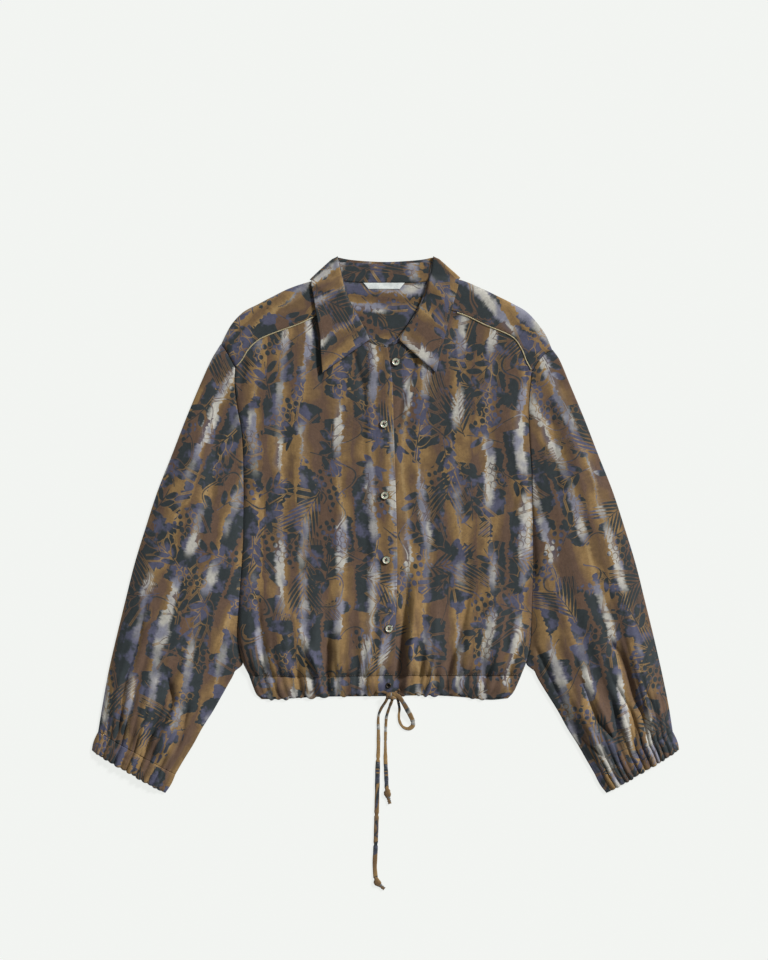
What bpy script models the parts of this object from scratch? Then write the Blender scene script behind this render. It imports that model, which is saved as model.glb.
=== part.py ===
"""Cropped blouse with a gathered drawstring hem, laid flat on its back.

The origin is on the surface that it lies on, under the middle of the garment. +X is to the viewer's
right, +Y towards the collar and +Z up. Tables and sizes are in millimetres, and MM turns them into metres.
The wearer's right is at the viewer's left, so front_right has negative X.
"""

import bisect
import math
from collections import namedtuple

import bmesh
import bpy

MM = 0.001

# Cloth and how it is laid
CLOTH = 1.2  # thickness of a wall of cloth
SEAM = 0.3  # gap at seams and between layers that lie on each other
LAYERED = 2 * CLOTH + SEAM  # height of the outer face of a front that lies on the back
BODY_CROWN = 3.0  # how far the fronts stand up from the back, away from their edges
LEAST_RISE = 0.5  # what is left of that in the deepest fold
CROWN_RUN = 9.0  # how fast they rise from an edge
BLOUSE_RISE = 4.5  # the fullness that falls over the hem casing
BLOUSE_Y = -160.0
BLOUSE_RUN = 55.0
PLACKET_STEP = CLOTH + SEAM + 0.7  # the front on top rises this far over the one below
PLACKET_RUN = 10.0
PLACKET_CLEAR = 7.0  # the rise is whole this far before the edge of the front below
COLLAR_LIFT = CLOTH + SEAM + 0.1  # the back of the yoke lies on the collar fall
FALL_REACH = 11.0  # it starts to rise this far before the edge of the fall
FALL_RUN = 8.0
FALL_TOUCH = 2.0  # and one of its rows lies this far before that edge
FALL_END_X = 128.0  # the rise ends at this distance from the middle
FALL_END_RUN = 16.0
FOLD_BEFORE = 0.12  # a fold runs on past its start by this share of its length
FOLD_START_RUN = 0.25
FOLD_END_RUN = 0.45
LEAF_CLEAR = 1.2  # how far the collar's leaves stand clear of the fronts and the stand

# Gathers
HEM_GATHERS = 12  # on each front
HEM_GATHER_RISE = 1.5
HEM_GATHER_RUN = 42.0  # how far they run up the panel
HEM_UNEVEN = (0.35, 9.7, 1.3)  # how the gathers differ: size, waves and start of a sine
CASING_PUFF = 2.6
CASING_CUT = 0.1  # share of the arc of the puff that is left out at each edge
CASING_START = 0.15  # height of the puff at the hem's edge, as a share
CASING_RUN = 0.67  # share of the casing over which it rises
CASING_GATHER = 0.25  # what is left of the gathers at the hem's edge
PLAIN_END = 7.0  # the gathers fade out over one part in this many of a front, at its centre edge
OVERLAP_SHARE = 0.1  # and the whole overlap of the front below is plain
CUFF_GATHERS = 13  # on the upper side of each cuff
CUFF_GATHER_RISE = 1.7
CUFF_GATHER_RUN = 0.16  # share of the sleeve's length that they run up
CUFF_UNEVEN = (0.3, 11.0, 0.6)
SLEEVE_CROWN = 6.0
SLEEVE_RUN = 14.0  # how fast a sleeve rises from its edges
CAP_SHARE = 0.25  # share of the crown at the shoulder
CAP_RUN = 0.3  # share of the sleeve's length over which it grows to the whole
SLEEVE_FULLNESS = 4.0
FULLNESS_AT = 0.86  # shares of the sleeve's length
FULLNESS_RUN = 0.14
TO_CUFF = 0.35  # the crown shrinks by this share over the last part of the sleeve
TO_CUFF_RUN = 0.1
SLEEVE_FOLD_RUN = 0.6  # share of a sleeve fold over which it rises
CUFF_CROWN = 3.2
CUFF_RISE_RUN = 9.0
CUFF_PUFF = 0.35
CUFF_FALL = 0.25
CUFF_SWELL = 1.5  # how far the sides of a cuff bulge
CUFF_GAP = SEAM + 0.1

# Trim
BUTTON_RADIUS = 5.75
BUTTON_HEIGHT = 2.2
PIPING_RADIUS = 1.2
EYELET_RADIUS = 3.7
EYELET_WIRE = 0.9
TAPE_WIDTH = 6.4
TAPE_HEIGHT = 2.4
KNOT_SHAPE = (1.25, 0.72, 0.5)  # of the knot at the hem, times its radius
LABEL_THICK = 0.6
PIPING_CLEAR = SEAM + 0.15

# How finely the pieces are divided
FRONT_ROWS = 17
BACK_ROWS = 34
CASING_ROWS = 3
BACK_CASING_ROWS = 2
YOKE_SIDE_COLUMNS = 14
YOKE_NECK_COLUMNS = 8
YOKE_COLUMNS = 2 * YOKE_SIDE_COLUMNS + YOKE_NECK_COLUMNS
YOKE_BACK_ROWS = 4
YOKE_FOLD_ROWS = 3
YOKE_FRONT_ROWS = 3
YOKE_END_COLUMNS = 2  # the shoulder fold opens out over these at its tip
ARMHOLE_COLUMNS = 5  # and these follow the curve of the armhole
YOKE_MOST = (0.88, 0.97)  # the furthest that its two rows at the collar fall may lie
STAND_ROWS = 2
FALL_ROWS = 4
SLEEVE_ROWS = 16
CUFF_ROWS = 3
TUBE_TOP = 2 * CUFF_GATHERS
TUBE_UNDER = 4
EDGE_RADIUS = LAYERED / 2 + 0.2  # of the folded edges of sleeves and cuffs
BUTTON_STEPS = 14
PIPING_SPACING = 14
PIPING_POINTS = 11
STRAND_SPACING = 13
LOOP_SPACING = 5.5

Point = namedtuple("Point", "x y")
Fold = namedtuple("Fold", "x0 y0 x1 y1 rise width")
SleeveFold = namedtuple("SleeveFold", "start end across drift rise width")
Section = namedtuple("Section", "roll_x roll_y edge_x edge_y")
Button = namedtuple("Button", "x y on_top")
Route = namedtuple("Route", "x y z")
Knot = namedtuple("Knot", "x y z radius")

# Side edges of the body, from the hem seam up to the yoke seam
SIDE_LEFT = [
    Point(-184, -205), Point(-194, -184), Point(-199, -160), Point(-200, -140), Point(-197, -92),
    Point(-193, -30), Point(-192, 40), Point(-194, 120), Point(-200, 155), Point(-204, 188),
    Point(-203, 210),
]
SIDE_RIGHT = [
    Point(183, -205), Point(191, -184), Point(196, -160), Point(198, -110), Point(200, -60),
    Point(199, 2), Point(198, 70), Point(195, 115), Point(194, 160), Point(198, 205),
]
# Ends of the yoke along the armholes, from the seam up to the shoulder's tip
YOKE_END_LEFT = [Point(-203, 210), Point(-209, 221), Point(-217, 235), Point(-222, 241)]
YOKE_END_RIGHT = [Point(198, 205), Point(205.5, 217), Point(214.5, 228), Point(225, 234)]
# Shoulder folds, from the tip to the neck point
SHOULDER_LEFT = [
    Point(-222, 241), Point(-215, 256), Point(-206, 271), Point(-191, 286), Point(-172, 296),
    Point(-151, 307), Point(-128, 318), Point(-99, 327), Point(-76, 332),
]
SHOULDER_RIGHT = [
    Point(225, 234), Point(217, 253), Point(206, 269), Point(190, 286), Point(171, 297),
    Point(151, 307), Point(128, 318), Point(100, 329), Point(76, 333),
]
# Front yoke seams, from the armhole to the neckline
YOKE_SEAM_LEFT = [
    Point(-203, 210), Point(-194, 220), Point(-186, 233), Point(-178, 242), Point(-167, 250),
    Point(-142, 260), Point(-117, 269), Point(-94, 280), Point(-76, 288),
]
YOKE_SEAM_RIGHT = [
    Point(198, 205), Point(190, 219), Point(184, 234), Point(174, 249), Point(161, 257),
    Point(134, 268), Point(109, 280), Point(88, 287), Point(74, 291),
]
# Necklines, from the yoke seam to the centre front, and round the back
NECK_LEFT = [
    Point(-76, 288), Point(-68, 279), Point(-55, 266), Point(-35, 251), Point(-15, 241), Point(3, 237),
]
NECK_RIGHT = [
    Point(74, 291), Point(66, 280), Point(52, 266), Point(35, 253), Point(16, 243), Point(-9, 234),
]
NECK_BACK = [
    Point(-76, 332), Point(-58, 327), Point(-30, 325), Point(30, 325), Point(58, 327), Point(76, 333),
]
# Centre-front edges, from the hem seam up: the one on top, and the one below it
FRONT_EDGE_TOP = [
    Point(13, -205), Point(14, -141), Point(16, -49), Point(14, 38), Point(11, 134), Point(9, 194),
    Point(3, 237),
]
FRONT_EDGE_UNDER = [
    Point(-13, -205), Point(-12, -141), Point(-10, -49), Point(-11, 38), Point(-13, 134), Point(-13, 194),
    Point(-9, 234),
]
BACK_SEAM = [Point(-203, 210), Point(-100, 203), Point(0, 201), Point(100, 202), Point(198, 205)]
HEM_SEAM = [Point(-184, -205), Point(-90, -207), Point(0, -205), Point(90, -205), Point(183, -205)]
HEM_EDGE = [
    Point(-167, -237), Point(-145, -237), Point(-90, -234), Point(0, -233), Point(60, -232),
    Point(100, -234), Point(140, -238), Point(165, -236),
]
HEM_END_LEFT = [Point(-184, -205), Point(-179, -219), Point(-174, -231), Point(-167, -237)]
HEM_END_RIGHT = [Point(183, -205), Point(177, -219), Point(172, -229), Point(165, -236)]
# Shares of the hem's edge at which the front on top ends and the one below starts
HEM_MEETS = (0.525, 0.455)

# Main folds of the fronts, as soft ridges and troughs from one point to another
BODY_FOLDS = [
    Fold(-176, -205, -168, -110, 2.6, 8), Fold(-165, -205, -160, -120, -2.4, 6),
    Fold(-140, -205, -128, -60, 3.4, 12), Fold(-98, -205, -92, -70, 3.0, 11),
    Fold(-79, -205, -82, -150, -2.4, 7), Fold(-60, -205, -62, -40, 3.0, 12),
    Fold(-30, -205, -36, -90, 2.2, 10), Fold(17, -205, 27, -40, -3.2, 7),
    Fold(30, -205, 42, -60, 3.2, 9), Fold(62, -205, 66, -90, 3.4, 11),
    Fold(84, -205, 86, -150, -2.2, 7), Fold(108, -205, 112, -70, 3.2, 12),
    Fold(150, -205, 146, -50, 3.6, 12), Fold(174, -205, 176, -120, 2.4, 8),
    Fold(-42, 232, -32, 190, 1.6, 7), Fold(43, 222, 16, 150, 1.8, 8),
    Fold(-185, 60, -150, 190, 1.8, 12), Fold(186, 60, 152, 185, 1.8, 12),
    Fold(-120, 20, -104, 200, 1.2, 16), Fold(110, 10, 100, 200, 1.2, 16),
]

# Sleeve edges, from the shoulder's tip and from where the sleeve leaves the body to the cuff seam
OUTER_LEFT = [
    Point(-222, 241), Point(-234, 221), Point(-249, 188), Point(-269, 140), Point(-288, 91), Point(-307, 43),
    Point(-323, -6), Point(-338, -55), Point(-350, -103), Point(-362, -152), Point(-373, -200),
    Point(-381, -244), Point(-387, -281),
]
OUTER_RIGHT = [
    Point(225, 234), Point(234, 221), Point(248, 188), Point(268, 140), Point(287, 91), Point(306, 43),
    Point(322, -6), Point(337, -55), Point(349, -103), Point(361, -152), Point(372, -200),
    Point(381, -244), Point(387, -281),
]
INNER_LEFT = [
    Point(-200, -182), Point(-205, -202), Point(-213, -217), Point(-222, -233), Point(-234, -254),
    Point(-248, -276), Point(-260, -298), Point(-273, -319), Point(-284, -338),
]
INNER_RIGHT = [
    Point(198, -182), Point(203, -202), Point(211, -217), Point(221, -233), Point(234, -254),
    Point(246, -276), Point(260, -298), Point(272, -319), Point(283, -338),
]
UNDERARM_Y = 20.0
CROTCH_Y = -170.0  # below this the sleeve leaves the side of the body
ARMHOLE_GAP = 1.5
CUFF_END_LEFT = (Point(-396, -307), Point(-298, -364))
CUFF_END_RIGHT = (Point(396, -306), Point(299, -364))
# Folds along a sleeve: start and end as shares of its length, across and drift as shares of its width
SLEEVE_FOLDS = [
    SleeveFold(0.30, 1.0, 0.16, 0.02, 3.2, 0.07), SleeveFold(0.55, 1.0, 0.30, 0.03, -2.6, 0.05),
    SleeveFold(0.10, 1.0, 0.44, 0.06, 3.6, 0.09), SleeveFold(0.60, 1.0, 0.58, 0.02, -2.8, 0.05),
    SleeveFold(0.35, 1.0, 0.70, -0.04, 3.8, 0.08), SleeveFold(0.62, 1.0, 0.86, -0.05, 2.6, 0.06),
]

# Sections of the collar fall, from its roll line to its outer edge. The leaves lie on the fronts, and the
# rest lies behind the neck, under the yoke.
LEAF_LEFT = [
    Section(-21, 248, -85, 203), Section(-30, 266, -87, 228), Section(-40, 283, -88, 252),
    Section(-52, 306, -93, 282), Section(-58, 330, -97, 306), Section(-62, 348, -99.5, 320),
]
FALL_FOLD_LEFT = Section(-64, 359, -99, 327)
FALL_BACK = [
    Section(-48, 356, -76, 316), Section(-25, 354, -40, 309), Section(0, 353, 0, 307),
    Section(25, 354, 40, 309), Section(48, 356, 76, 317),
]
FALL_FOLD_RIGHT = Section(64, 359, 98, 329)
LEAF_RIGHT = [
    Section(62.5, 348, 98, 320), Section(59, 330, 93.5, 304), Section(53, 307, 87, 280),
    Section(40, 281, 80, 252), Section(28, 265, 74, 228), Section(17, 248, 68, 203),
]
# Turns of the fold at the sides of the neck, in degrees, from in front to behind
FOLD_TURNS = (65, 0, -78)
BEHIND = -90
FALL_EDGE = [Point(-99, 327), Point(-76, 316), Point(0, 307), Point(76, 317), Point(98, 329)]
# Sections of the stand, from its roll line to the neckline, in the same order
STAND_LEFT = [
    Section(-4, 243, 2, 237.6), Section(-20, 250, -15, 241.6), Section(-38, 282, -54.5, 266.6),
    Section(-50.5, 306, -67.5, 279.6), Section(-57, 330, -75.5, 300),
]
STAND_FOLD_LEFT = Section(-61.5, 352, -72.5, 333)
STAND_BACK = [
    Section(-46, 352, -57, 328), Section(-24, 350.5, -30, 325.6), Section(0, 350, 0, 325.6),
    Section(24, 350.5, 30, 325.6), Section(46, 352, 57, 328),
]
STAND_FOLD_RIGHT = Section(61.5, 352, 72.5, 334)
STAND_RIGHT = [
    Section(57.5, 330, 74, 301), Section(51, 307, 66, 281), Section(38, 280, 52, 267.6),
    Section(16, 250, 16.5, 243.8), Section(9, 246, 9.5, 240.6),
]
LABEL_TOP = (Point(-30, 324.6), Point(26, 324.6))
LABEL_BOTTOM = (Point(-23, 316), Point(19, 316))

BUTTONS = [
    Button(14, 218, False), Button(-2, 134, True), Button(-1, 38, True), Button(1, -49, True),
    Button(5, -141, True),
]
EYELET = Point(4, -218)
HEM_KNOT = Knot(9, -231, 9.4, 6.4)
# Routes of the drawstring, each from the knot outwards, at the middle of the tape
LOOP_ROUTE = [
    Route(17.9, -232.6, 11.2), Route(20.6, -236, 11.0), Route(24.5, -242, 9.0), Route(29, -250, 6.4),
    Route(33.5, -258.5, 4.2), Route(37, -267, 2.4), Route(36.5, -273.5, 1.5), Route(30.5, -277, 1.3),
    Route(23.5, -274.5, 1.3), Route(19, -267, 1.3), Route(18, -259, 1.3), Route(18.8, -251, 1.6),
    Route(18.2, -245, 3.8), Route(17.2, -240.4, 7.0), Route(16, -236.4, 7.8),
]
LONG_ROUTE = [
    Route(2.2, -235.6, 8.2), Route(0.9, -238.6, 7.8), Route(-1.8, -243, 5.6), Route(-5.8, -249.5, 2.9),
    Route(-8.8, -257, 1.5), Route(-9.8, -265, 1.3), Route(-9.5, -278, 1.3), Route(-9.5, -300, 1.3),
    Route(-10.5, -330, 1.3), Route(-11.5, -373, 1.3), Route(-12.5, -410, 1.3), Route(-13.5, -440, 1.3),
    Route(-14.5, -462, 1.3), Route(-13.4, -478, 1.3),
]
SHORT_ROUTE = [
    Route(9, -237.1, 8.2), Route(8.2, -240, 7.9), Route(6.8, -243.5, 5.6), Route(4.6, -250, 2.9),
    Route(2.2, -257.5, 1.5), Route(0.8, -266, 1.3), Route(0, -292, 1.3), Route(0, -319, 1.3),
    Route(1, -340, 1.3), Route(1.6, -357, 1.3),
]
LONG_END = [Route(-12.8, -478.6, 2.2), Route(-12, -483, 2.6), Route(-8, -487.5, 1.8), Route(-1.5, -493, 1.8)]
SHORT_END = [Route(1.9, -357.6, 2.2), Route(2.3, -362, 2.6), Route(3.6, -369, 1.8), Route(6, -378, 1.8)]
# Half of a button's section: shares of its radius and of its height
BUTTON_PROFILE = [(0, 0.6), (0.72, 0.75), (0.86, 1), (1, 0.75), (1, 0.4), (0.8, 0), (0, 0)]
END_KNOT_WIDTHS = (0.7, 1.35, 0.75, 0.9)  # times the tape's width at the four points of an end knot
END_KNOT_HEIGHT = 0.5  # its height as a share of its width

COLOURS = {
    "printed_cloth": ((0.21, 0.135, 0.062, 1), 0.82, 0.0),
    "piping_cloth": ((0.50, 0.43, 0.24, 1), 0.7, 0.0),
    "pearl": ((0.62, 0.58, 0.48, 1), 0.3, 0.0),
    "dark_metal": ((0.07, 0.06, 0.05, 1), 0.35, 1.0),
    "label_cloth": ((0.78, 0.8, 0.79, 1), 0.7, 0.0),
}

for old in list(bpy.data.objects):
    bpy.data.objects.remove(old, do_unlink=True)
blouse = bpy.data.collections.new("blouse")
bpy.context.scene.collection.children.link(blouse)


# Curves and tables

def curve_at(points, share):
    """Point at a share of the length of the smooth curve through points."""
    marks = [0.0]
    for a, b in zip(points, points[1:]):
        marks.append(marks[-1] + math.dist(a, b))
    where = min(max(share, 0.0), 1.0) * marks[-1]
    i = min(max(bisect.bisect_right(marks, where) - 1, 0), len(points) - 2)
    span = marks[i + 1] - marks[i]
    t = (where - marks[i]) / span
    pull = []
    for k in (i, i + 1):
        low, high = max(k - 1, 0), min(k + 1, len(points) - 1)
        run = marks[high] - marks[low]
        pull.append([(q - p) / run * span for p, q in zip(points[low], points[high])])
    h1, h2 = 2 * t**3 - 3 * t**2 + 1, t**3 - 2 * t**2 + t
    h3, h4 = 3 * t**2 - 2 * t**3, t**3 - t**2
    ends = zip(points[i], pull[0], points[i + 1], pull[1])
    return [h1 * a + h2 * da + h3 * b + h4 * db for a, da, b, db in ends]


def table_at(rows, value, key=0):
    """The other coordinate of a table of points, where its key coordinate is value."""
    rows = sorted(rows, key=lambda p: p[key])
    keys = [p[key] for p in rows]
    i = min(max(bisect.bisect_right(keys, value) - 1, 0), len(rows) - 2)
    share = min(max((value - keys[i]) / max(keys[i + 1] - keys[i], 1e-9), 0.0), 1.0)
    return rows[i][1 - key] * (1 - share) + rows[i + 1][1 - key] * share


def ease(x):
    """0 below 0, 1 above 1, and smooth between."""
    x = min(max(x, 0.0), 1.0)
    return x * x * (3 - 2 * x)


def mix(a, b, share):
    return [p * (1 - share) + q * share for p, q in zip(a, b)]


def joined(first, second, share):
    """Two curves one after the other, the first of them over a share of the way."""

    def at(along):
        if along <= share:
            return curve_at(first, along / share)
        return curve_at(second, (along - share) / (1 - share))

    return at


def bow(points, share):
    """How far a curve stands off the straight line between its ends."""
    return [c - s for c, s in zip(curve_at(points, share), mix(points[0], points[-1], share))]


def patch(bottom, top, left, right):
    """The point (x, y) of the panel between four edge curves, for shares across and up."""
    top_at = top if callable(top) else lambda across: curve_at(top, across)

    def at(across, up):
        row = mix(curve_at(bottom, across), top_at(across), up)
        bend = mix(bow(left, up), bow(right, up), across)
        return [r + b for r, b in zip(row, bend)]

    return at


def moved(points, dx, dy):
    return [Point(p[0] + dx, p[1] + dy) for p in points]


def cut(points, start, end, count=9):
    """A stretch of the smooth curve through points, between two shares of its length."""
    return [Point(*curve_at(points, start + (end - start) * k / (count - 1))) for k in range(count)]


# Heights of the cloth above the surface that it lies on

LEFT_EDGE = sorted(SIDE_LEFT + YOKE_END_LEFT[1:] + HEM_END_LEFT[1:], key=lambda p: p.y)
RIGHT_EDGE = sorted(SIDE_RIGHT + YOKE_END_RIGHT[1:] + HEM_END_RIGHT[1:], key=lambda p: p.y)
SHOULDERS = SHOULDER_LEFT + SHOULDER_RIGHT


def collar_lift(x, y):
    """How far the collar fall, which lies below it, lifts the yoke."""
    behind = ease((y - table_at(FALL_EDGE, x) + FALL_REACH) / FALL_RUN)
    return COLLAR_LIFT * behind * ease((FALL_END_X - abs(x)) / FALL_END_RUN)


def fold_height(x, y):
    total = 0.0
    for f in BODY_FOLDS:
        run_x, run_y = f.x1 - f.x0, f.y1 - f.y0
        length = math.hypot(run_x, run_y)
        along = ((x - f.x0) * run_x + (y - f.y0) * run_y) / length**2
        away = ((x - f.x0) * run_y - (y - f.y0) * run_x) / length
        fade = ease((1 - along) / FOLD_END_RUN) * ease(1 + (along + FOLD_BEFORE) / FOLD_START_RUN)
        total += f.rise * fade * math.exp(-((away / f.width) ** 2))
    return total


def body_top(x, y):
    """Height of the outer face of the fronts and of the yoke's front parts."""
    inward = min(x - table_at(LEFT_EDGE, y, 1), table_at(RIGHT_EDGE, y, 1) - x, table_at(SHOULDERS, x) - y)
    rise = 1 - math.exp(-max(inward, 0) / CROWN_RUN)
    fullness = BLOUSE_RISE * math.exp(-(((y - BLOUSE_Y) / BLOUSE_RUN) ** 2))
    soft = max(BODY_CROWN + fullness + fold_height(x, y), LEAST_RISE)
    return LAYERED + collar_lift(x, y) + rise * soft


def gathers(across, count, rise, uneven):
    """Height of rounded gathers of uneven size, count of them across."""
    size, waves, start = uneven
    share = (1 - math.cos(2 * math.pi * count * across)) / 2
    return rise * (1 + size * math.sin(waves * across + start)) * share


def hem_gather(across, run):
    """Height of the hem's gathers, run being the distance from the hem seam."""
    return gathers(across, HEM_GATHERS, HEM_GATHER_RISE, HEM_UNEVEN) * math.exp(-run / HEM_GATHER_RUN)


def casing_top(x, y):
    """Height of the outer face of the front hem casings, a channel puffed up by the drawstring in it."""
    low, high = table_at(HEM_EDGE, x), table_at(HEM_SEAM, x)
    up = min(max((y - low) / (high - low), 0), 1)
    arc = math.sin(math.pi * (CASING_CUT + (1 - 2 * CASING_CUT) * up))
    puff = CASING_PUFF * arc * ease(CASING_START + up / CASING_RUN)
    inward = min(x - table_at(LEFT_EDGE, y, 1), table_at(RIGHT_EDGE, y, 1) - x)
    return LAYERED + puff * (1 - math.exp(-max(inward, 0) / CROWN_RUN))


def placket_rise(x, y):
    edge = table_at(FRONT_EDGE_UNDER, y, 1)
    return PLACKET_STEP * ease((x - edge + PLACKET_RUN + PLACKET_CLEAR) / PLACKET_RUN)


# Makers

def material(name):
    found = bpy.data.materials.get(name)
    if found:
        return found
    colour, roughness, metallic = COLOURS[name]
    made = bpy.data.materials.new(name)
    made.use_nodes = True
    shader = made.node_tree.nodes["Principled BSDF"]
    shader.inputs["Base Color"].default_value = colour
    shader.inputs["Roughness"].default_value = roughness
    shader.inputs["Metallic"].default_value = metallic
    return made


def add_object(name, data, finish):
    obj = bpy.data.objects.new(name, data)
    data.materials.append(material(finish))
    blouse.objects.link(obj)
    return obj


def cloth(name, columns, rows, place, finish="printed_cloth", thick=CLOTH, grow=-1, keep=None, closed=False):
    """A grid of cloth whose points come from place(across, along), with its thickness by Solidify.

    grow is -1 where the wall lies against the grid's normals and 1 where it lies along them, keep says
    which cells stay, and closed joins the first column to the last.
    """
    bm = bmesh.new()
    bmesh.ops.create_grid(bm, x_segments=columns, y_segments=rows, size=1)
    if keep:
        gone = []
        for face in bm.faces:
            middle = face.calc_center_median()
            if not keep((middle.x + 1) / 2, (middle.y + 1) / 2):
                gone.append(face)
        bmesh.ops.delete(bm, geom=gone, context="FACES")
    for vert in bm.verts:
        x, y, z = place((vert.co.x + 1) / 2, (vert.co.y + 1) / 2)
        vert.co = (x * MM, y * MM, z * MM)
    if closed:
        bmesh.ops.remove_doubles(bm, verts=bm.verts, dist=0.01 * MM)
    mesh = bpy.data.meshes.new(name)
    bm.to_mesh(mesh)
    bm.free()
    mesh.shade_smooth()
    obj = add_object(name, mesh, finish)
    wall = obj.modifiers.new("wall", "SOLIDIFY")
    wall.thickness = thick * MM
    wall.offset = grow
    wall.use_even_offset = False
    return obj


def tube(name, route, radius, finish, spacing, height_share=1.0, widths=None):
    """A cord along the smooth curve through a route; height_share flattens it."""
    length = sum(math.dist(a, b) for a, b in zip(route, route[1:]))
    count = len(route) if widths else max(4, round(length / spacing))
    curve = bpy.data.curves.new(name, "CURVE")
    curve.dimensions = "3D"
    curve.bevel_depth = radius * MM
    curve.bevel_resolution = 2
    curve.use_fill_caps = True
    spline = curve.splines.new("POLY")
    spline.points.add(count - 1)
    for k, point in enumerate(spline.points):
        x, y, z = route[k] if widths else curve_at(route, k / (count - 1))
        point.co = (x * MM, y * MM, z * MM / height_share, 1)
        point.radius = widths[k] if widths else 1
    obj = add_object(name, curve, finish)
    obj.scale = (1, 1, height_share)
    return obj


# Body

def add_back():
    place = patch(HEM_SEAM, moved(BACK_SEAM, 0, -SEAM), SIDE_LEFT, SIDE_RIGHT)
    cloth("back", YOKE_COLUMNS, BACK_ROWS, lambda u, v: (*place(u, v), CLOTH))
    hem = patch(HEM_EDGE, moved(HEM_SEAM, 0, -SEAM), HEM_END_LEFT[::-1], HEM_END_RIGHT[::-1])
    cloth("hem_back", YOKE_COLUMNS, BACK_CASING_ROWS, lambda u, v: (*hem(u, v), CLOTH))


def add_front(name, hem_name, bottom, top, left, right, hem_edge, hem_left, hem_right, rise, plain_end):
    place = patch(bottom, top, left, right)

    def at(across, up):
        x, y = place(across, up)
        run = max(y - curve_at(bottom, across)[1], 0)
        return x, y, body_top(x, y) + plain_end(across) * hem_gather(across, run) + rise(x, y)

    cloth(name, 2 * HEM_GATHERS, FRONT_ROWS, at)
    casing = patch(hem_edge, moved(bottom, 0, -SEAM), hem_left, hem_right)

    def casing_at(across, up):
        x, y = casing(across, up)
        share = CASING_GATHER + (1 - CASING_GATHER) * ease(up / CASING_RUN)
        gather = plain_end(across) * hem_gather(across, 0) * share
        return x, y, casing_top(x, y) + gather + rise(x, y)

    cloth(hem_name, 2 * HEM_GATHERS, CASING_ROWS, casing_at)


def add_fronts():
    on_yoke = YOKE_SIDE_COLUMNS / (2 * HEM_GATHERS)
    drop = -1.5 * SEAM
    top_left = joined(moved(YOKE_SEAM_LEFT, 0, drop), moved(NECK_LEFT, 0, drop), on_yoke)
    top_right = joined(moved(NECK_RIGHT[::-1], 0, drop), moved(YOKE_SEAM_RIGHT[::-1], 0, drop), 1 - on_yoke)
    span = HEM_SEAM[-1].x - HEM_SEAM[0].x
    meets = [(edge[0].x - HEM_SEAM[0].x) / span for edge in (FRONT_EDGE_TOP, FRONT_EDGE_UNDER)]
    bottom_left, bottom_right = cut(HEM_SEAM, 0, meets[0]), cut(HEM_SEAM, meets[1], 1)
    hem_left, hem_right = cut(HEM_EDGE, 0, HEM_MEETS[0]), cut(HEM_EDGE, HEM_MEETS[1], 1)
    edge_left = [hem_left[-1], mix(hem_left[-1], bottom_left[-1], 0.5), bottom_left[-1]]
    edge_right = [hem_right[0], mix(hem_right[0], bottom_right[0], 0.5), bottom_right[0]]
    add_front(
        "front_right", "hem_right", bottom_left, top_left, SIDE_LEFT, FRONT_EDGE_TOP,
        hem_left, HEM_END_LEFT[::-1], edge_left, placket_rise, lambda across: ease((1 - across) * PLAIN_END),
    )
    add_front(
        "front_left", "hem_left", bottom_right, top_right, FRONT_EDGE_UNDER, SIDE_RIGHT,
        hem_right, edge_right, HEM_END_RIGHT[::-1], lambda x, y: 0.0,
        lambda across: ease((across - OVERLAP_SHARE) * PLAIN_END),
    )


# The yoke is one piece, from the back seam over the shoulder folds to the two front seams

def yoke_lines(column):
    """For a column, the points on the back seam, on the shoulder or neckline, and on the front seam."""
    back = curve_at(BACK_SEAM, column / YOKE_COLUMNS)
    if column <= YOKE_SIDE_COLUMNS:
        share = column / YOKE_SIDE_COLUMNS
        return back, curve_at(SHOULDER_LEFT, share), curve_at(YOKE_SEAM_LEFT, share)
    if column >= YOKE_COLUMNS - YOKE_SIDE_COLUMNS:
        share = (YOKE_COLUMNS - column) / YOKE_SIDE_COLUMNS
        return back, curve_at(SHOULDER_RIGHT, share), curve_at(YOKE_SEAM_RIGHT, share)
    neck = curve_at(NECK_BACK, (column - YOKE_SIDE_COLUMNS) / YOKE_NECK_COLUMNS)
    return back, neck, neck


def back_shares(back, top):
    """Where the rows of the yoke's back part lie, two of them at the edge of the collar fall below it."""
    edge = table_at(FALL_EDGE, top[0])
    low, high = [(edge - run - back[1]) / (top[1] - back[1]) for run in (FALL_REACH, FALL_TOUCH)]
    low, high = min(low, YOKE_MOST[0]), min(high, YOKE_MOST[1])
    return 0, low / 2, low, high, 1


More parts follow.
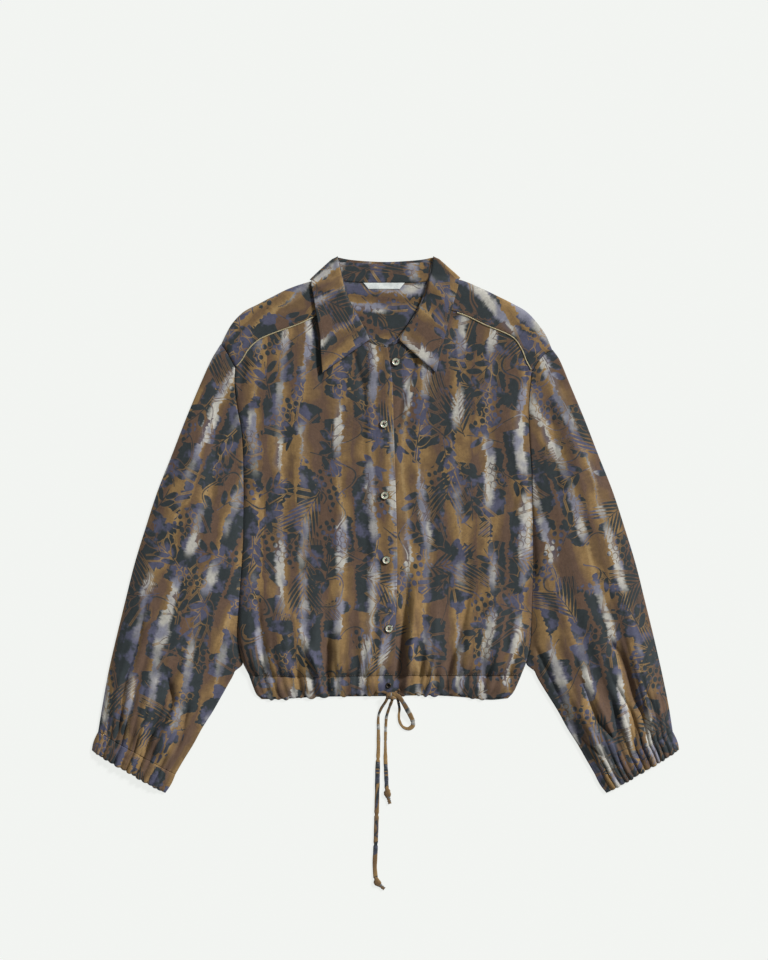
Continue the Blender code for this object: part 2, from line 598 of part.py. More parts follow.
def add_yoke():
    columns = YOKE_COLUMNS
    rows = YOKE_BACK_ROWS + YOKE_FOLD_ROWS + YOKE_FRONT_ROWS
    radius = LAYERED / 2

    def at(across, along):
        column, row = round(across * columns), round(along * rows)
        back, top, front = yoke_lines(column)
        low, high = yoke_lines(max(column - 1, 0))[1], yoke_lines(min(column + 1, columns))[1]
        out_x, out_y = low[1] - high[1], high[0] - low[0]
        length = math.hypot(out_x, out_y)
        out_x, out_y = out_x / length, out_y / length
        end = ease(min(column, columns - column) / YOKE_END_COLUMNS)
        inset = mix(top, (top[0] - out_x * radius, top[1] - out_y * radius), end)
        armhole = YOKE_END_LEFT if column < columns / 2 else YOKE_END_RIGHT
        near_armhole = 1 - ease(min(column, columns - column) / ARMHOLE_COLUMNS)
        if row <= YOKE_BACK_ROWS:
            share = back_shares(back, top)[row]
            dx, dy = bow(armhole, share)
            x, y = mix(back, inset, share)
            x, y = x + dx * near_armhole, y + dy * near_armhole
            return x, y, collar_lift(x, y)
        if row >= YOKE_BACK_ROWS + YOKE_FOLD_ROWS:
            share = (row - YOKE_BACK_ROWS - YOKE_FOLD_ROWS) / YOKE_FRONT_ROWS
            dx, dy = bow(armhole, 1 - share)
            x, y = mix(inset, front, share)
            x, y = x + dx * near_armhole, y + dy * near_armhole
            return x, y, body_top(x, y)
        turn = math.pi * (row - YOKE_BACK_ROWS) / YOKE_FOLD_ROWS
        reach = radius * math.sin(turn) * end
        x, y = inset[0] + out_x * reach, inset[1] + out_y * reach
        return x, y, collar_lift(x, y) + radius * (1 - math.cos(turn))

    def kept(across, along):
        in_neck = YOKE_SIDE_COLUMNS < across * columns < columns - YOKE_SIDE_COLUMNS
        return not (in_neck and along * rows > YOKE_BACK_ROWS)

    cloth("yoke", columns, rows, at, grow=1, keep=kept)


# The collar and its stand are strips that fold over at the sides of the neck

def folded_strip(name, front_left, fold_left, back, fold_right, front_right, low, front_top, rows):
    """A strip through sections, with its outer face at front_top(x, y) in front and at low behind."""
    sections = [(s, None) for s in front_left] + [(fold_left, turn) for turn in FOLD_TURNS]
    sections += [(s, BEHIND) for s in back] + [(fold_right, turn) for turn in FOLD_TURNS[::-1]]
    sections += [(s, None) for s in front_right]

    def at(along, across):
        section, turn = sections[round(along * (len(sections) - 1))]
        x, y = mix((section.roll_x, section.roll_y), (section.edge_x, section.edge_y), across)
        if turn is None:
            return x, y, front_top(x, y)
        if turn == BEHIND:
            return x, y, low
        radius = (front_top(x, y) - low) / 2
        out_x = section.edge_y - section.roll_y
        out_y = section.roll_x - section.edge_x
        length = math.hypot(out_x, out_y) * (1 if section.edge_x < 0 else -1)
        reach = radius * math.cos(math.radians(turn)) / length
        x, y = x + out_x * reach, y + out_y * reach
        return x, y, low + radius * (1 + math.sin(math.radians(turn)))

    return cloth(name, len(sections) - 1, rows, at)


def add_collar():
    folded_strip(
        "collar_stand", STAND_LEFT, STAND_FOLD_LEFT, STAND_BACK, STAND_FOLD_RIGHT, STAND_RIGHT,
        CLOTH + SEAM, body_top, STAND_ROWS,
    )

    def leaf_top(x, y):
        return body_top(x, y) + LEAF_CLEAR + CLOTH

    folded_strip(
        "collar", LEAF_LEFT, FALL_FOLD_LEFT, FALL_BACK, FALL_FOLD_RIGHT, LEAF_RIGHT, 0.0, leaf_top,
        FALL_ROWS,
    )
    label = patch(LABEL_BOTTOM, LABEL_TOP, (LABEL_BOTTOM[0], LABEL_TOP[0]), (LABEL_BOTTOM[1], LABEL_TOP[1]))
    lies_at = COLLAR_LIFT + CLOTH + SEAM + LABEL_THICK
    cloth("label", 2, 1, lambda u, v: (*label(u, v), lies_at), "label_cloth", LABEL_THICK)


# Sleeves and cuffs are flattened tubes, open at both ends

def ring_plan():
    """Round a flattened tube: (share across, face) for each point, from the outer edge over the top."""
    plan = [(0.0, "edge")]
    plan += [(k / TUBE_TOP, "top") for k in range(TUBE_TOP + 1)]
    plan += [(1.0, "edge")]
    plan += [(1 - k / TUBE_UNDER, "under") for k in range(TUBE_UNDER + 1)]
    return plan + [(0.0, "edge")]


def flat_tube(name, rows, edges, top, grow):
    """A tube between the two edge points edges(along), with the height top(along, across, width)."""
    plan = ring_plan()

    def at(around, along):
        across, face = plan[round(around * (len(plan) - 1))]
        outer, inner, bend = edges(along)
        width = math.dist(outer, inner)
        if face == "edge":
            x, y = mix(outer, inner, across)
            dx, dy = bend(across)
            return x + dx, y + dy, EDGE_RADIUS
        inset = EDGE_RADIUS / width
        share = inset + across * (1 - 2 * inset)
        x, y = mix(outer, inner, share)
        dx, dy = bend(share)
        if face == "under":
            return x + dx, y + dy, 0.0
        return x + dx, y + dy, top(along, across, width)

    return cloth(name, len(plan) - 1, rows, at, grow=grow, closed=True)


def cuff_gather(across):
    return gathers(across, CUFF_GATHERS, CUFF_GATHER_RISE, CUFF_UNEVEN)


def tube_rise(across, width, run):
    return (1 - math.exp(-across * width / run)) * (1 - math.exp(-(1 - across) * width / run))


def sleeve_top(along, across, width):
    folds = 0.0
    for f in SLEEVE_FOLDS:
        if along > f.start:
            share = (along - f.start) / (f.end - f.start)
            middle = f.across + f.drift * (1 - share)
            away = (across - middle) / f.width
            folds += f.rise * ease(share / SLEEVE_FOLD_RUN) * math.exp(-(away**2))
    fullness = SLEEVE_FULLNESS * math.exp(-(((along - FULLNESS_AT) / FULLNESS_RUN) ** 2))
    soft = SLEEVE_CROWN * (CAP_SHARE + (1 - CAP_SHARE) * ease(along / CAP_RUN)) + fullness + folds
    soft *= 1 - TO_CUFF * ease((along - 1 + TO_CUFF_RUN) / TO_CUFF_RUN)
    gather = cuff_gather(across) * math.exp(-(1 - along) / CUFF_GATHER_RUN)
    return 2 * EDGE_RADIUS + tube_rise(across, width, SLEEVE_RUN) * max(soft, LEAST_RISE) + gather


def cuff_top(along, across, width):
    puff = 1 + CUFF_PUFF * math.sin(math.pi * along) - CUFF_FALL * along
    rise = tube_rise(across, width, CUFF_RISE_RUN)
    return 2 * EDGE_RADIUS + rise * CUFF_CROWN * puff + cuff_gather(across)


def add_sleeve(side_name, outer, inner, side, yoke_end, cuff_end, sign, grow):
    underarm = Point(table_at(side, UNDERARM_Y, 1), UNDERARM_Y)
    above = [p for p in side[::-1] if p.y > UNDERARM_Y]
    beside = [p for p in side[::-1] if CROTCH_Y < p.y < UNDERARM_Y]
    armhole = moved(yoke_end[::-1] + above[1:] + [underarm], sign * ARMHOLE_GAP, 0)
    inner = moved([underarm] + beside, sign * ARMHOLE_GAP, 0) + inner
    outer = [Point(outer[0].x + sign * ARMHOLE_GAP, outer[0].y)] + outer[1:]

    def edges(along):
        fade = (1 - along) ** 3

        def bend(share):
            straight = mix(armhole[0], armhole[-1], share)
            curved = curve_at(armhole, share)
            return fade * (curved[0] - straight[0]), fade * (curved[1] - straight[1])

        return curve_at(outer, along), curve_at(inner, along), bend

    flat_tube("sleeve_" + side_name, SLEEVE_ROWS, edges, sleeve_top, grow)
    start_outer, start_inner = outer[-1], inner[-1]
    length = math.dist(start_outer, cuff_end[0])
    gap = CUFF_GAP / length

    def cuff_edges(along):
        share = gap + (1 - gap) * along
        swell = CUFF_SWELL * math.sin(math.pi * along) * sign
        a = mix(start_outer, cuff_end[0], share)
        b = mix(start_inner, cuff_end[1], share)
        return (a[0] + swell, a[1]), (b[0] - swell, b[1]), lambda across: (0.0, 0.0)

    flat_tube("cuff_" + side_name, CUFF_ROWS, cuff_edges, cuff_top, grow)


# Trim

def highest(height, x, y, reach):
    """The highest point of the cloth under a round piece."""
    steps = [(math.cos(a), math.sin(a)) for a in (k * math.pi / 4 for k in range(8))]
    around = [height(x + r * c, y + r * s) for c, s in steps for r in (reach / 2, reach)]
    return max(around + [height(x, y)])


def add_piping(name, seam, start, end):
    route = []
    for point in cut(seam, start, end, PIPING_POINTS):
        route.append((*point, body_top(*point) + PIPING_RADIUS + PIPING_CLEAR))
    tube(name, route, PIPING_RADIUS, "piping_cloth", PIPING_SPACING)


def add_button(number, button):
    rise = (lambda x, y: body_top(x, y) + placket_rise(x, y)) if button.on_top else body_top
    z = highest(rise, button.x, button.y, BUTTON_RADIUS) + SEAM
    profile = [(r * BUTTON_RADIUS * MM, 0, h * BUTTON_HEIGHT * MM) for r, h in BUTTON_PROFILE]
    mesh = bpy.data.meshes.new("button")
    mesh.from_pydata(profile, [(k, k + 1) for k in range(len(profile) - 1)], [])
    obj = add_object(f"button_{number}", mesh, "pearl")
    obj.location = (button.x * MM, button.y * MM, z * MM)
    turn = obj.modifiers.new("turn", "SCREW")
    turn.steps = BUTTON_STEPS
    turn.render_steps = BUTTON_STEPS
    turn.use_merge_vertices = True
    turn.merge_threshold = 0.00001


def add_eyelet():
    z = highest(lambda x, y: casing_top(x, y) + placket_rise(x, y), EYELET.x, EYELET.y, EYELET_RADIUS)
    bpy.ops.mesh.primitive_torus_add(
        major_segments=16, minor_segments=6, major_radius=EYELET_RADIUS * MM, minor_radius=EYELET_WIRE * MM,
        location=(EYELET.x * MM, EYELET.y * MM, (z + EYELET_WIRE + SEAM / 2) * MM),
    )
    ring = bpy.context.object
    ring.name = "eyelet"
    ring.data.materials.append(material("dark_metal"))
    for owner in ring.users_collection:
        owner.objects.unlink(ring)
    blouse.objects.link(ring)


def add_drawstring():
    flat = TAPE_HEIGHT / TAPE_WIDTH
    bm = bmesh.new()
    bmesh.ops.create_uvsphere(bm, u_segments=12, v_segments=8, radius=HEM_KNOT.radius * MM)
    bmesh.ops.scale(bm, vec=KNOT_SHAPE, verts=bm.verts)
    mesh = bpy.data.meshes.new("drawstring_knot")
    bm.to_mesh(mesh)
    bm.free()
    knot = add_object("drawstring_knot", mesh, "printed_cloth")
    knot.location = (HEM_KNOT.x * MM, HEM_KNOT.y * MM, HEM_KNOT.z * MM)
    tube("drawstring_loop", LOOP_ROUTE, TAPE_WIDTH / 2, "printed_cloth", LOOP_SPACING, flat)
    for name, route, end in (("long", LONG_ROUTE, LONG_END), ("short", SHORT_ROUTE, SHORT_END)):
        tube("drawstring_" + name, route, TAPE_WIDTH / 2, "printed_cloth", STRAND_SPACING, flat)
        tube("end_knot_" + name, end, TAPE_WIDTH / 2, "printed_cloth", 0, END_KNOT_HEIGHT, END_KNOT_WIDTHS)


add_back()
add_fronts()
add_yoke()
add_collar()
add_sleeve("right", OUTER_LEFT, INNER_LEFT, SIDE_LEFT, YOKE_END_LEFT, CUFF_END_LEFT, -1, 1)
add_sleeve("left", OUTER_RIGHT, INNER_RIGHT, SIDE_RIGHT, YOKE_END_RIGHT, CUFF_END_RIGHT, 1, -1)
add_piping("piping_right", YOKE_SEAM_LEFT, 0.02, 0.85)
add_piping("piping_left", YOKE_SEAM_RIGHT, 0.02, 0.86)
for number, button in enumerate(BUTTONS, 1):
    add_button(number, button)
add_eyelet()
add_drawstring()
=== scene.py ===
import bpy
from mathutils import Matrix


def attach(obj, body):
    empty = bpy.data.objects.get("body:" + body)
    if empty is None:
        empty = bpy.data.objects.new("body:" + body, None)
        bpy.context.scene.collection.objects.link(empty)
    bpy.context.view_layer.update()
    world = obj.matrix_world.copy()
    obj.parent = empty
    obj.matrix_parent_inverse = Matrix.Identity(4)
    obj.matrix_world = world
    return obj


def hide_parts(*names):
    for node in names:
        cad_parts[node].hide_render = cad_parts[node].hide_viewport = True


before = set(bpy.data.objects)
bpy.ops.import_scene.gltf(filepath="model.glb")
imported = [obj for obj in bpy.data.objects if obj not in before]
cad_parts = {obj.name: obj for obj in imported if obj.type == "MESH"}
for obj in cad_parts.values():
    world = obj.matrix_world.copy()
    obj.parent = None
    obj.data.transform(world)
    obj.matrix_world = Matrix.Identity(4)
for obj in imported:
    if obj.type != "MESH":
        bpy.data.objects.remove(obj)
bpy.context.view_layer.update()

import math

import bpy
import numpy as np
from mathutils import Vector
from mathutils.bvhtree import BVHTree

# Left and right are as seen in the picture: the wearer's right front is at the picture's left.
# Tables are in millimetres on the surface that the blouse lies on, and mm turns them into metres.
mm = 0.001

look = {
    "lens": 85.0,  # mm
    "sensor": 36.0,  # mm, on the long side of the picture
    "centre": (-2.0, 58.7),  # the middle of the picture
    "height": 1296.0,  # how much of the surface the picture shows from top to bottom
}

sheetOfCloth = {
    "wall": 0.7,  # thin shell
    "layer": 1.2,  # room that one layer of cloth takes
    "seam": 0.3,
    "edgeRound": 1.25,  # folded edges turn down over this distance
}
layered = 2 * sheetOfCloth["layer"] + sheetOfCloth["seam"]


# Curves and tables

def between(spots, slope, i, t, span=1.0):  # smooth from spot i to the next, with t from 0 to 1
    near = (2 * t**3 - 3 * t**2 + 1) * spots[i] + (t**3 - 2 * t**2 + t) * slope[i] * span
    return near + (3 * t**2 - 2 * t**3) * spots[i + 1] + (t**3 - t**2) * slope[i + 1] * span


def curveAt(points, share):
    spots = np.array(points, float)
    count = len(spots)
    marks = np.concatenate([[0], np.cumsum(np.linalg.norm(np.diff(spots, axis=0), axis=1))])
    where = np.clip(np.asarray(share, float), 0, 1) * marks[-1]
    i = np.clip(np.searchsorted(marks, where, side="right") - 1, 0, count - 2)
    before = np.maximum(np.arange(count) - 1, 0)
    after = np.minimum(np.arange(count) + 1, count - 1)
    slope = (spots[after] - spots[before]) / (marks[after] - marks[before])[:, None]
    span = (marks[i + 1] - marks[i])[..., None]
    return between(spots, slope, i, (where - marks[i])[..., None] / span, span)


def tableAt(points, value, key=0):
    rows = np.array(sorted(points, key=lambda p: p[key]), float)
    return np.interp(value, rows[:, key], rows[:, 1 - key])


def ease(x):
    x = np.clip(x, 0, 1)
    return x * x * (3 - 2 * x)


def mix(a, b, share):
    share = np.asarray(share, float)[..., None]
    return np.asarray(a, float) * (1 - share) + np.asarray(b, float) * share


def joined(first, second, share):
    def at(along):
        early = curveAt(first, np.asarray(along) / share)
        late = curveAt(second, (np.asarray(along) - share) / (1 - share))
        return np.where((np.asarray(along) <= share)[..., None], early, late)
    return at


def bow(points, share):  # how far a curve stands off the straight line between its ends
    return curveAt(points, share) - mix(points[0], points[-1], share)


def patchAt(bottom, top, left, right, across, up):
    low = bottom(across) if callable(bottom) else curveAt(bottom, across)
    high = top(across) if callable(top) else curveAt(top, across)
    return mix(low, high, up) + mix(bow(left, up), bow(right, up), across)


def moved(points, dx, dy):
    return [(p[0] + dx, p[1] + dy) for p in points]


def cut(points, start, end, count=9):
    return [tuple(p) for p in curveAt(points, np.linspace(start, end, count))]


def turnedDown(distance, radius=sheetOfCloth["edgeRound"]):  # how far a rounded edge has dropped
    t = np.clip(1 - distance / radius, 0, 1)
    return radius * (1 - np.sqrt(1 - t * t))


def shares(length, step, edge=(0, 0.35, 0.8, 1.4, 2.4)):  # finer at both ends
    start = np.array(edge) / length
    middle = np.linspace(start[-1], 1 - start[-1], max(2, round(length / step)))
    return np.concatenate([start[:-1], middle, 1 - start[:-1][::-1]])


def unevenness(x, y, size, seed):  # soft noise from -1 to 1, made of crossing waves
    total = 0
    for k in range(5):
        turn = seed * 1.7 + k * 2.4
        wave = 2 * math.pi / (size * (0.7 + 0.28 * k))
        bend = 1.3 * np.sin((x * math.sin(turn) - y * math.cos(turn)) * wave * 0.6 + k)
        total = total + np.sin((x * math.cos(turn) + y * math.sin(turn)) * wave + bend + seed * k)
    return total / 3.2


def nearLine(x, y, line, pieces=22):  # distance to a smooth line, and the share of it that is nearest
    spots = curveAt(line, np.linspace(0, 1, pieces + 1))
    best, share = np.full(np.shape(x), 1e9), np.zeros(np.shape(x))
    for k in range(pieces):
        a, b = spots[k], spots[k + 1]
        run = b - a
        t = np.clip(((x - a[0]) * run[0] + (y - a[1]) * run[1]) / (run @ run), 0, 1)
        far = np.hypot(x - a[0] - t * run[0], y - a[1] - t * run[1])
        closer = far < best
        best, share = np.where(closer, far, best), np.where(closer, (k + t) / pieces, share)
    return best, share


def creased(x, y, table):  # soft ridges along lines, or troughs where the height is below 0
    total = 0
    for line, height, width, fadeIn, fadeOut in table:
        far, share = nearLine(x, y, line)
        fade = ease(share / max(fadeIn, 1e-6)) * ease((1 - share) / max(fadeOut, 1e-6))
        total = total + height * fade * np.exp(-((far / width) ** 1.15))
    return total


def gathered(across, marks, uneven):  # humps between the marked troughs
    phase = np.interp(across, marks, np.arange(len(marks)))
    size = np.array(uneven)[np.clip(phase.astype(int), 0, len(uneven) - 1)]
    return size * np.abs(np.sin(math.pi * phase)) ** 0.6


# Makers

collection = bpy.data.collections.new("blouse")
bpy.context.scene.collection.children.link(collection)


def addMesh(name, points, faces, uvs, material):
    mesh = bpy.data.meshes.new(name)
    mesh.from_pydata((np.asarray(points) * mm).tolist(), [], faces)
    layer = mesh.uv_layers.new(name="cloth")
    layer.data.foreach_set("uv", (np.asarray(uvs) * mm).ravel())
    mesh.shade_smooth()
    mesh.materials.append(material)
    piece = bpy.data.objects.new(name, mesh)
    collection.objects.link(piece)
    return piece


def dress(piece, node=None):  # hides the part that a piece stands for, and hangs the piece on the root
    if node:
        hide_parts(node)
    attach(piece, "root")
    return piece


def addCloth(
    name, across, along, at, node, closed=False, offset=-1.0, keep=None, wall=None, flip=False, ribbon=None,
):
    # at(across, along) gives x, y, z and the spot on the cloth, u and v, all in millimetres
    gridAcross, gridAlong = np.meshgrid(across, along)
    x, y, z, u, v = at(gridAcross, gridAlong)
    rows, columns = gridAcross.shape
    width = columns - 1 if closed else columns
    points = np.stack([x, y, z], -1)[:, :width].reshape(-1, 3)
    r, c = np.meshgrid(np.arange(rows - 1), np.arange(columns - 1), indexing="ij")
    if keep is not None:
        kept = keep(*[(grid[:-1, :-1] + grid[1:, 1:]) / 2 for grid in (gridAcross, gridAlong)])
        r, c = r[kept], c[kept]
    r, c = r.ravel(), c.ravel()
    steps = ((0, 0), (0, 1), (1, 1), (1, 0))
    if flip:
        steps = steps[::-1]
    faces = np.stack([(r + dr) * width + (c + dc) % width for dr, dc in steps], -1)
    uvs = np.stack([np.stack([u[r + dr, c + dc], v[r + dr, c + dc]], -1) for dr, dc in steps], 1)
    used = np.unique(faces)
    renamed = np.full(len(points), -1)
    renamed[used] = np.arange(len(used))
    piece = addMesh(name, points[used], renamed[faces].tolist(), uvs.reshape(-1, 2), ribbon or printedCloth)
    shell = piece.modifiers.new("shell", "SOLIDIFY")
    shell.thickness = (wall or sheetOfCloth["wall"]) * mm
    shell.offset = offset
    shell.use_even_offset = False
    dress(piece, node)
    return piece


def addTube(name, path, width, height, material, ring=14, widths=None, square=1.0):
    # a tube or flat tape along path, with the cloth's u round it and v along it
    path = np.asarray(path, float)
    ahead = np.gradient(path, axis=0)
    ahead /= np.linalg.norm(ahead, axis=1)[:, None]
    side = np.cross(ahead, (0, 0, 1))
    side /= np.maximum(np.linalg.norm(side, axis=1), 1e-6)[:, None]
    up = np.cross(side, ahead)
    turn = np.linspace(0, 2 * math.pi, ring + 1)
    flat = np.sign(np.cos(turn)) * np.abs(np.cos(turn)) ** square
    tall = np.sign(np.sin(turn)) * np.abs(np.sin(turn)) ** square
    scale = np.ones(len(path)) if widths is None else np.asarray(widths, float)
    rim = side[:, None] * (flat * width / 2)[None, :, None] + up[:, None] * (tall * height / 2)[None, :, None]
    points = (path[:, None] + rim * scale[:, None, None])[:, :ring].reshape(-1, 3)
    run = np.concatenate([[0], np.cumsum(np.linalg.norm(np.diff(path, axis=0), axis=1))])
    girth = turn / (2 * math.pi) * 2.2 * width
    faces, uvs = [], []
    for r in range(len(path) - 1):
        for c in range(ring):
            steps = ((r, c), (r, c + 1), (r + 1, c + 1), (r + 1, c))
            faces.append([row * ring + column % ring for row, column in steps])
            uvs += [(girth[column], run[row]) for row, column in steps]
    last = (len(path) - 1) * ring
    faces += [list(range(ring))[::-1], [last + c for c in range(ring)]]
    uvs += [(girth[c], run[0]) for c in range(ring)] + [(girth[c], run[-1]) for c in range(ring)]
    return addMesh(name, points, faces, uvs, material)


# Camera

camera = bpy.data.objects.new("camera", bpy.data.cameras.new("camera"))
bpy.context.scene.collection.objects.link(camera)
camera.data.lens = look["lens"]
camera.data.sensor_fit = "VERTICAL"
camera.data.sensor_height = look["sensor"]
away = look["height"] * look["lens"] / look["sensor"]
camera.location = (look["centre"][0] * mm, look["centre"][1] * mm, away * mm)
bpy.context.scene.camera = camera
print("camera placed")


# Shader wiring

class Wire:  # a socket that can be added, multiplied and compared
    def __init__(self, tree, socket):
        self.tree, self.socket = tree, socket

    def math(self, operation, *others):
        node = self.tree.nodes.new("ShaderNodeMath")
        node.operation = operation
        for inlet, value in zip(node.inputs, (self,) + others):
            plug(self.tree, inlet, value)
        return Wire(self.tree, node.outputs[0])

    def __add__(self, other):
        return self.math("ADD", other)

    def __sub__(self, other):
        return self.math("SUBTRACT", other)

    def __rsub__(self, other):
        return self.math("MULTIPLY_ADD", -1.0, other)

    def __mul__(self, other):
        return self.math("MULTIPLY", other)

    def __truediv__(self, other):
        return self.math("DIVIDE", other)

    def smooth(self, low, high):  # 0 below low, 1 above high
        node = self.tree.nodes.new("ShaderNodeMapRange")
        node.interpolation_type = "SMOOTHSTEP"
        for inlet, value in zip(node.inputs, (self, low, high, 0.0, 1.0)):
            plug(self.tree, inlet, value)
        return Wire(self.tree, node.outputs[0])

    def above(self, other):
        return self.math("GREATER_THAN", other)

    def most(self, other):
        return self.math("MAXIMUM", other)

    def least(self, other):
        return self.math("MINIMUM", other)


def plug(tree, inlet, value):
    if isinstance(value, Wire):
        tree.links.new(value.socket, inlet)
    else:
        inlet.default_value = value


def vectorOf(tree, x, y, z=0.0):
    node = tree.nodes.new("ShaderNodeCombineXYZ")
    for inlet, value in zip(node.inputs, (x, y, z)):
        plug(tree, inlet, value)
    return Wire(tree, node.outputs[0])


def partsOf(tree, vector):
    node = tree.nodes.new("ShaderNodeSeparateXYZ")
    plug(tree, node.inputs[0], vector)
    return [Wire(tree, outlet) for outlet in node.outputs]


def noiseOf(tree, vector, scale, detail=2.0, rough=0.5):
    node = tree.nodes.new("ShaderNodeTexNoise")
    node.noise_dimensions = "2D"
    plug(tree, node.inputs["Vector"], vector)
    plug(tree, node.inputs["Scale"], scale)
    node.inputs["Detail"].default_value = detail
    node.inputs["Roughness"].default_value = rough
    return Wire(tree, node.outputs["Fac"])


def chanceOf(tree, vector):  # three steady random numbers from 0 to 1 for each whole-numbered spot
    node = tree.nodes.new("ShaderNodeTexWhiteNoise")
    node.noise_dimensions = "3D"
    plug(tree, node.inputs["Vector"], vector)
    colour = tree.nodes.new("ShaderNodeSeparateColor")
    tree.links.new(node.outputs["Color"], colour.inputs[0])
    return [Wire(tree, outlet) for outlet in colour.outputs]


def colourMix(tree, share, first, second, mode="MIX"):
    node = tree.nodes.new("ShaderNodeMix")
    node.data_type = "RGBA"
    node.blend_type = mode
    plug(tree, node.inputs[0], share)
    plug(tree, node.inputs[6], first)
    plug(tree, node.inputs[7], second)
    return Wire(tree, node.outputs[2])


def newGroup(name, inlets, outlets):
    tree = bpy.data.node_groups.new(name, "ShaderNodeTree")
    for label, kind, value in inlets:
        socket = tree.interface.new_socket(name=label, in_out="INPUT", socket_type=kind)
        if value is not None:
            socket.default_value = value
    for label, kind in outlets:
        tree.interface.new_socket(name=label, in_out="OUTPUT", socket_type=kind)
    start, end = tree.nodes.new("NodeGroupInput"), tree.nodes.new("NodeGroupOutput")
    given = {s.name: Wire(tree, s) for s in start.outputs if s.name}
    return tree, given, {s.name: s for s in end.inputs if s.name}


def placeGroup(tree, group, **values):
    node = tree.nodes.new("ShaderNodeGroup")
    node.node_tree = group
    for label, value in values.items():
        plug(tree, node.inputs[label], value)
    return {s.name: Wire(tree, s) for s in node.outputs}


# The print: dyed stripes and leaf shapes on a gold-brown ground. Sizes are in mm on the cloth

printing = {
    "lightGold": (0.40, 0.27, 0.12, 1),
    "gold": (0.262, 0.161, 0.064, 1),
    "brown": (0.160, 0.096, 0.045, 1),
    "reddish": (0.118, 0.070, 0.046, 1),
    "slate": (0.026, 0.034, 0.037, 1),
    "violet": (0.080, 0.082, 0.132, 1),
    "pale": (0.49, 0.47, 0.42, 1),
    "haze": (0.235, 0.235, 0.29, 1),
    "stripeGap": 41.0,
    "sway": 26.0,  # how far the stripes wander
    "swayLength": 190.0,
    "streakLength": 262.0,
    "bandLength": 210.0,
    "leafTurn": 0.42,
}


def cellSpots(tree, x, y, size, seed, jitter):
    # splits the cloth into square cells, and gives the place in the cell and three random numbers
    cellX, cellY = (x / size).math("FLOOR"), (y / size).math("FLOOR")
    one, two, three = chanceOf(tree, vectorOf(tree, cellX, cellY, seed))
    localX = x - (cellX + 0.5) * size - (one - 0.5) * (size * jitter)
    localY = y - (cellY + 0.5) * size - (two - 0.5) * (size * jitter)
    return localX, localY, one, two, three


def turnedBy(tree, x, y, angle):
    c, s = angle.math("COSINE"), angle.math("SINE")
    return x * c + y * s, y * c - x * s


def sprigs(tree, x, y, size, seed, gap, leafLength, leafWidth, reach, slant, chance):
    # a stem with slanting leaves on both sides: distance inside a leaf in mm, below 0 outside
    localX, localY, one, two, three = cellSpots(tree, x, y, size, seed, 0.14)
    along, off = turnedBy(tree, localX, localY, three * (2 * math.pi))
    along = along + leafLength * 0.3
    off = off + along * along * (one - 0.5) * 0.012
    side = off.math("SIGN")
    far = off.math("ABSOLUTE")
    step = (along - far * slant + side * (gap * 0.25)) / gap
    number = step.math("FLOOR")
    apart = (step - number - 0.5).math("ABSOLUTE") * (gap / math.hypot(1, slant))
    place = (number + 0.5) * gap
    shorter = 1.0 - (place * place) * (0.45 / reach**2)
    share = (far / (shorter * leafLength)).least(1.0)
    half = (share * math.pi).math("SINE").math("POWER", 0.72) * (leafWidth / 2)
    leaf = half - apart - (place.math("ABSOLUTE").above(reach) * 9.0)
    stem = 0.55 - far - (along.math("ABSOLUTE").above(reach + gap * 0.4) * 9.0)
    return leaf.most(stem) - two.above(chance) * 9.0


def fans(tree, x, y, size, seed, leaves, inner, leafLength, leafWidth, spread, chance):
    # leaves that spread from one point, over a share of the full turn
    localX, localY, one, two, three = cellSpots(tree, x, y, size, seed, 0.14)
    far = (localX * localX + localY * localY).math("SQRT")
    turn = (localY.math("ARCTAN2", localX) / (2 * math.pi) + three + 1.0).math("FRACT")
    step = turn * leaves
    number = step.math("FLOOR")
    aside = (step - number - 0.5).math("ABSOLUTE") * (2 * math.pi / leaves) * far
    ripple = (number * 2.4 + one * 9.0).math("SINE") * 0.16 + 0.92
    share = ((far - inner) / (ripple * leafLength)).math("MAXIMUM", 0.0).least(1.0)
    half = (share * math.pi).math("SINE").math("POWER", 0.72) * (leafWidth / 2)
    return half - aside - turn.above(spread) * 9.0 - two.above(chance) * 9.0


def berries(tree, x, y, size, seed, radius, cluster, amount):
    localX, localY, one, two, three = cellSpots(tree, x, y, size, seed, 0.3)
    far = (localX * localX + localY * localY * 0.72).math("SQRT")
    return three * 0.9 + (radius - 0.7) - far - cluster.math("LESS_THAN", amount) * 9.0


